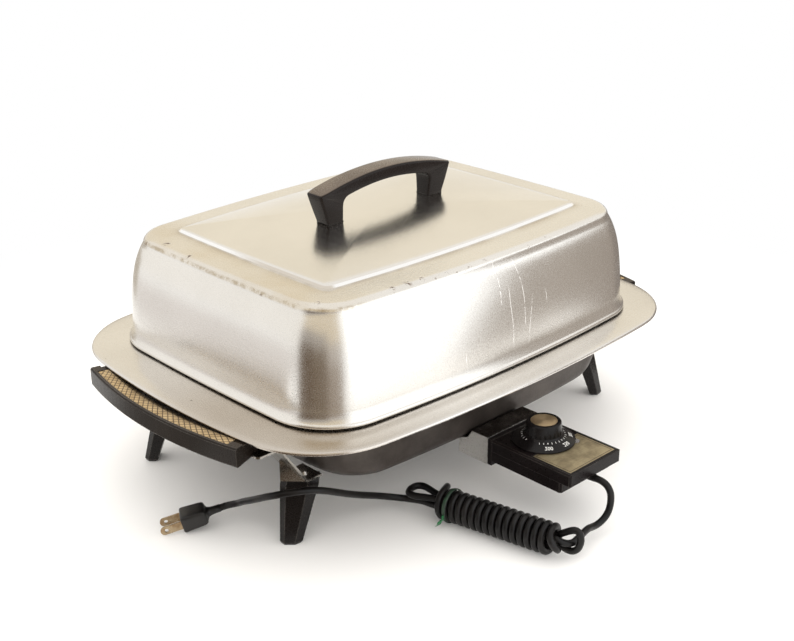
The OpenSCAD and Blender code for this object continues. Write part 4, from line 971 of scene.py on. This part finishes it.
def make_looks():
    return {
        "lid": lid_look(),
        "brim": brim_look(),
        "body": body_look(),
        "shroud": shroud_look(),
        "steel": satin_metal("steel_plated", (0.70, 0.68, 0.64), (0.6, 0.58, 0.55), (0.2, 0.32)),
        "bracket": satin_metal("bracket_plated", (0.40, 0.38, 0.35), (0.30, 0.28, 0.25), (0.2, 0.32)),
        "sheath": simple("sheath_dull", (0.09, 0.085, 0.08), (0.16, 0.14, 0.12), 0.5, metal=0.6),
        # the edge radii below give the handles, feet and control painted highlights along their edges
        "handle": dark_plastic("handle_black", (0.010, 0.007, 0.005), dust_and_sheen=(0.035, 0.026, 0.019),
                               wear_and_edge_light=0.0008),
        # the grip's paler top is a painted sheen
        "grip": dark_plastic("grip_black", (0.008, 0.005, 0.004), rough=0.25, soft=0.0, shine=0.25,
                             dust_and_sheen=(0.115, 0.088, 0.066)),
        "foot": dark_plastic("foot_black", (0.006, 0.0045, 0.004), rough=0.26, shine=0.25, wear_and_edge_light=0.001),
        "control": dark_plastic("control_black", (0.006, 0.004, 0.004), rough=0.3, soft=0.0007,
                                wear_and_edge_light=0.0005),
        "dial": dark_plastic("dial_black", (0.005, 0.004, 0.004), rough=0.22, soft=0.0004, shine=0.22),
        "lattice_left": lattice_look(-1),
        "lattice_right": lattice_look(1),
        "plate": plate_look(),
        "cap": cap_look(),
        "lens": lens_look(),
        "lamp": simple("lamp_glow", (0.75, 0.5, 0.38), (0.68, 0.44, 0.33), 0.3),
        "brass": simple("brass_dull", (0.60, 0.45, 0.22), (0.48, 0.34, 0.16), 0.33, metal=1.0),
        "blades": simple("blade_brass", (0.30, 0.20, 0.11), (0.48, 0.38, 0.25), 0.3, metal=1.0, scale=150),
        "ceramic": simple("ceramic_white", (0.8, 0.78, 0.72), (0.72, 0.69, 0.63), 0.5),
        "paint": simple("paint_white", (0.86, 0.85, 0.82), (0.78, 0.77, 0.73), 0.5),
        "cord": cord_look(),
        "plug": simple("plug_black", (0.005, 0.0045, 0.004), (0.012, 0.0105, 0.010), 0.34, grain=500,
                       depth=0.00008),
        "band": simple("tie_dark", (0.012, 0.03, 0.016), (0.02, 0.05, 0.025), 0.45, scale=200),
        "tie": simple("tie_green", (0.03, 0.17, 0.06), (0.05, 0.25, 0.10), 0.35, scale=200),
    }


# ---- studio; metres ----
def emitter(name, colour, strength):
    mat = bpy.data.materials.new(name)
    mat.use_nodes = True
    tree = mat.node_tree
    tree.nodes.clear()
    out = tree.nodes.new("ShaderNodeOutputMaterial")
    glow = tree.nodes.new("ShaderNodeEmission")
    glow.inputs["Color"].default_value = (*colour, 1)
    glow.inputs["Strength"].default_value = strength
    tree.links.new(glow.outputs[0], out.inputs["Surface"])
    return mat


def plane(name, corners):
    mesh = bpy.data.meshes.new(name)
    mesh.from_pydata(corners, [], [(0, 1, 2, 3)])
    return placed(name, mesh)


def card(name, corners, colour, strength=1.0):
    """A plain four-cornered card that only glossy rays see."""
    obj = plane(name, corners)
    obj.data.materials.append(emitter(name, colour, strength))
    obj.visible_camera = obj.visible_diffuse = False
    obj.visible_shadow = obj.visible_transmission = False


def standing(centre, towards, distance, width, low, high):
    """Corners of an upright card that faces a point from a compass direction in degrees."""
    a = math.radians(towards)
    x, y = centre[0] + distance * math.cos(a), centre[1] + distance * math.sin(a)
    dx, dy = -math.sin(a) * width / 2, math.cos(a) * width / 2
    return [(x - dx, y - dy, low), (x + dx, y + dy, low), (x + dx, y + dy, high), (x - dx, y - dy, high)]


HALF_SECTOR, ABOVE_FLOOR = 12, 0.002


def sector(centre, towards, near, far, half=HALF_SECTOR):
    """Corners of a card that lies just above the floor and spans half degrees to either side."""
    a, b = math.radians(towards - half), math.radians(towards + half)
    return [(centre[0] + d * math.cos(t), centre[1] + d * math.sin(t), ABOVE_FLOOR)
            for d, t in ((near, a), (far, a), (far, b), (near, b))]


def seen_rays(tree):
    """1 for what is seen, directly or in gloss or glass, and 0 for what only lights."""
    path = tree.nodes.new("ShaderNodeLightPath")
    total = path.outputs["Is Camera Ray"]
    for name in ("Is Glossy Ray", "Is Transmission Ray"):
        node = tree.nodes.new("ShaderNodeMath")
        node.operation = "MAXIMUM"
        tree.links.new(total, node.inputs[0])
        tree.links.new(path.outputs[name], node.inputs[1])
        total = node.outputs[0]
    return total


SKY, SKY_LIGHT = (1.0, 0.98, 0.955), 1.65
BACKDROP = (1, 0.985, 0.96)


def add_world():
    world = bpy.data.worlds.new("studio")
    bpy.context.scene.world = world
    world.use_nodes = True
    tree = world.node_tree
    tree.nodes.clear()
    mix = tree.nodes.new("ShaderNodeMixShader")
    tree.links.new(seen_rays(tree), mix.inputs[0])
    for k, (colour, strength) in enumerate(((SKY, SKY_LIGHT), (BACKDROP, 1.0)), 1):
        glow = tree.nodes.new("ShaderNodeBackground")
        glow.inputs["Color"].default_value = (*colour, 1)
        glow.inputs["Strength"].default_value = strength
        tree.links.new(glow.outputs[0], mix.inputs[k])
    out = tree.nodes.new("ShaderNodeOutputWorld")
    tree.links.new(mix.outputs[0], out.inputs["Surface"])


FLOOR_SIZE = 6.0
WHITENS = (0.16, 0.62)  # the floor turns white between these distances


def add_floor():
    """Pale floor that turns to plain white away from the object's shadow."""
    s = FLOOR_SIZE
    floor = plane("floor", [(-s, -s, 0), (s, -s, 0), (s, s, 0), (-s, s, 0)])
    look = Look("floor_pale")
    look.set("Roughness", 0.9)
    look.set("Specular IOR Level", 0.1)
    cloud = look.ranged(look.noise(1.5, 2), 0.35, 0.65)
    look.colour(look.mix(cloud, (0.93, 0.915, 0.885), (0.93, 0.92, 0.9)))
    glow = look.add("Emission")
    glow.inputs["Strength"].default_value = 1.0
    away = look.add("VectorMath", operation="LENGTH")
    look.put(look.place, away.inputs[0])
    white = look.times(look.ranged(away.outputs["Value"], *WHITENS), seen_rays(look.tree))
    mix = look.add("MixShader")
    for value, socket in zip((white, look.shader.outputs[0], glow.outputs[0]), mix.inputs):
        look.put(value, socket)
    look.put(mix.outputs[0], look.tree.nodes["Material Output"].inputs["Surface"])
    floor.data.materials.append(look.mat)


def lamp(name, place, target, size, power, colour):
    """A round area lamp that no reflection shows."""
    data = bpy.data.lights.new(name, "AREA")
    data.shape = "DISK"
    data.size = size
    data.energy = power
    data.color = colour
    obj = placed(name, data)
    obj.location = place
    obj.rotation_euler = (Vector(target) - Vector(place)).to_track_quat("-Z", "Y").to_euler()
    obj.visible_glossy = False


LEFT_CORNER, RIGHT_CORNER = (-0.13, -0.09), (0.13, -0.09)  # of the lid, in front
LEFT_RING, RIGHT_RING = (0.42, 0.18), (0.45, 0.2)  # each card's distance and width
CREAM = (0.74, 0.65, 0.51)
LEFT_CARDS = (  # direction in degrees, top, tone
    (190, 0.19, (0.14, 0.10, 0.07)), (213, 0.17, (0.19, 0.145, 0.105)), (237, 0.09, (0.36, 0.30, 0.25)))
RIGHT_CARDS = (
    (-30, 0.30, (0.36, 0.315, 0.28)), (-6, 0.24, (0.27, 0.235, 0.21)), (18, 0.17, (0.24, 0.21, 0.19)),
    (40, 0.165, (0.36, 0.32, 0.29)))


def add_studio():
    """Light, floor, and the cards whose reflections give the satin walls their tones."""
    add_world()
    add_floor()
    lamp("key", (1.1, 1.2, 1.5), (0, 0, 0.1), 2.0, 14, (1.0, 0.985, 0.96))
    lamp("side", (0.80, -1.20, 0.24), (0, -0.05, 0.12), 0.36, 4.0, (0.97, 0.98, 1.0))
    for k, (towards, top, tone) in enumerate(LEFT_CARDS, 1):
        pale = tuple(0.3 + 0.7 * c for c in tone)
        for kind, low, high, colour in (("dark", 0.0, top, tone), ("dim", top, top + 0.12, pale),
                                        ("high", top + 0.12, 0.62, CREAM)):
            card(f"card_{kind}_{k}", standing(LEFT_CORNER, towards, *LEFT_RING, low, high), colour)
        card(f"card_low_{k}", sector(LEFT_CORNER, towards, 0.09, LEFT_RING[0]), tone)
    for k, (towards, top, tone) in enumerate(RIGHT_CARDS, 1):
        card(f"card_side_{k}", standing(RIGHT_CORNER, towards, *RIGHT_RING, 0.0, top), tone)
        card(f"card_side_low_{k}", sector(RIGHT_CORNER, towards, 0.10, RIGHT_RING[0]), tone)
    for k, towards in enumerate((72, 98), 1):
        card(f"card_back_{k}", standing((-0.13, 0.09), towards, 0.45, 0.2, 0.0, 0.165), (0.55, 0.50, 0.43))
    card("card_left", standing((-0.18, 0.0), 145, 0.40, 0.66, 0.0, 0.10), (0.80, 0.765, 0.75))
    card("card_floor", sector((-0.18, 0.0), 144, 0.06, 0.42, 26), (0.60, 0.555, 0.51))
    card("card_right", [(0.12, -0.36, 0.0), (0.62, -0.36, 0.0), (0.62, -0.36, 0.30), (0.24, -0.36, 0.28)],
         (0.43, 0.385, 0.345))
    card("card_front", [(-0.21, -0.42, 0.0), (0.62, -0.42, 0.0), (0.62, -0.42, 0.42), (-0.21, -0.42, 0.42)],
         (0.96, 0.98, 1.0), 1.55)
    card("card_behind", standing((0, 0), 47.5, 1.41, 3.0, 0.34, 1.40), (0.93, 0.86, 0.72))


add_camera()
cord, cord_path, cord_length = make_cord()
plug = make_plug()
tie = make_tie()
pan_pieces = make_pan()
lid = make_lid()
marks = make_marks()
looks = make_looks()
dress((lid, pan_pieces, cord, plug, tie, marks, make_grip(), make_handles(), make_slopes()), looks)
add_studio()
bpy.context.scene.view_settings.view_transform = "Standard"
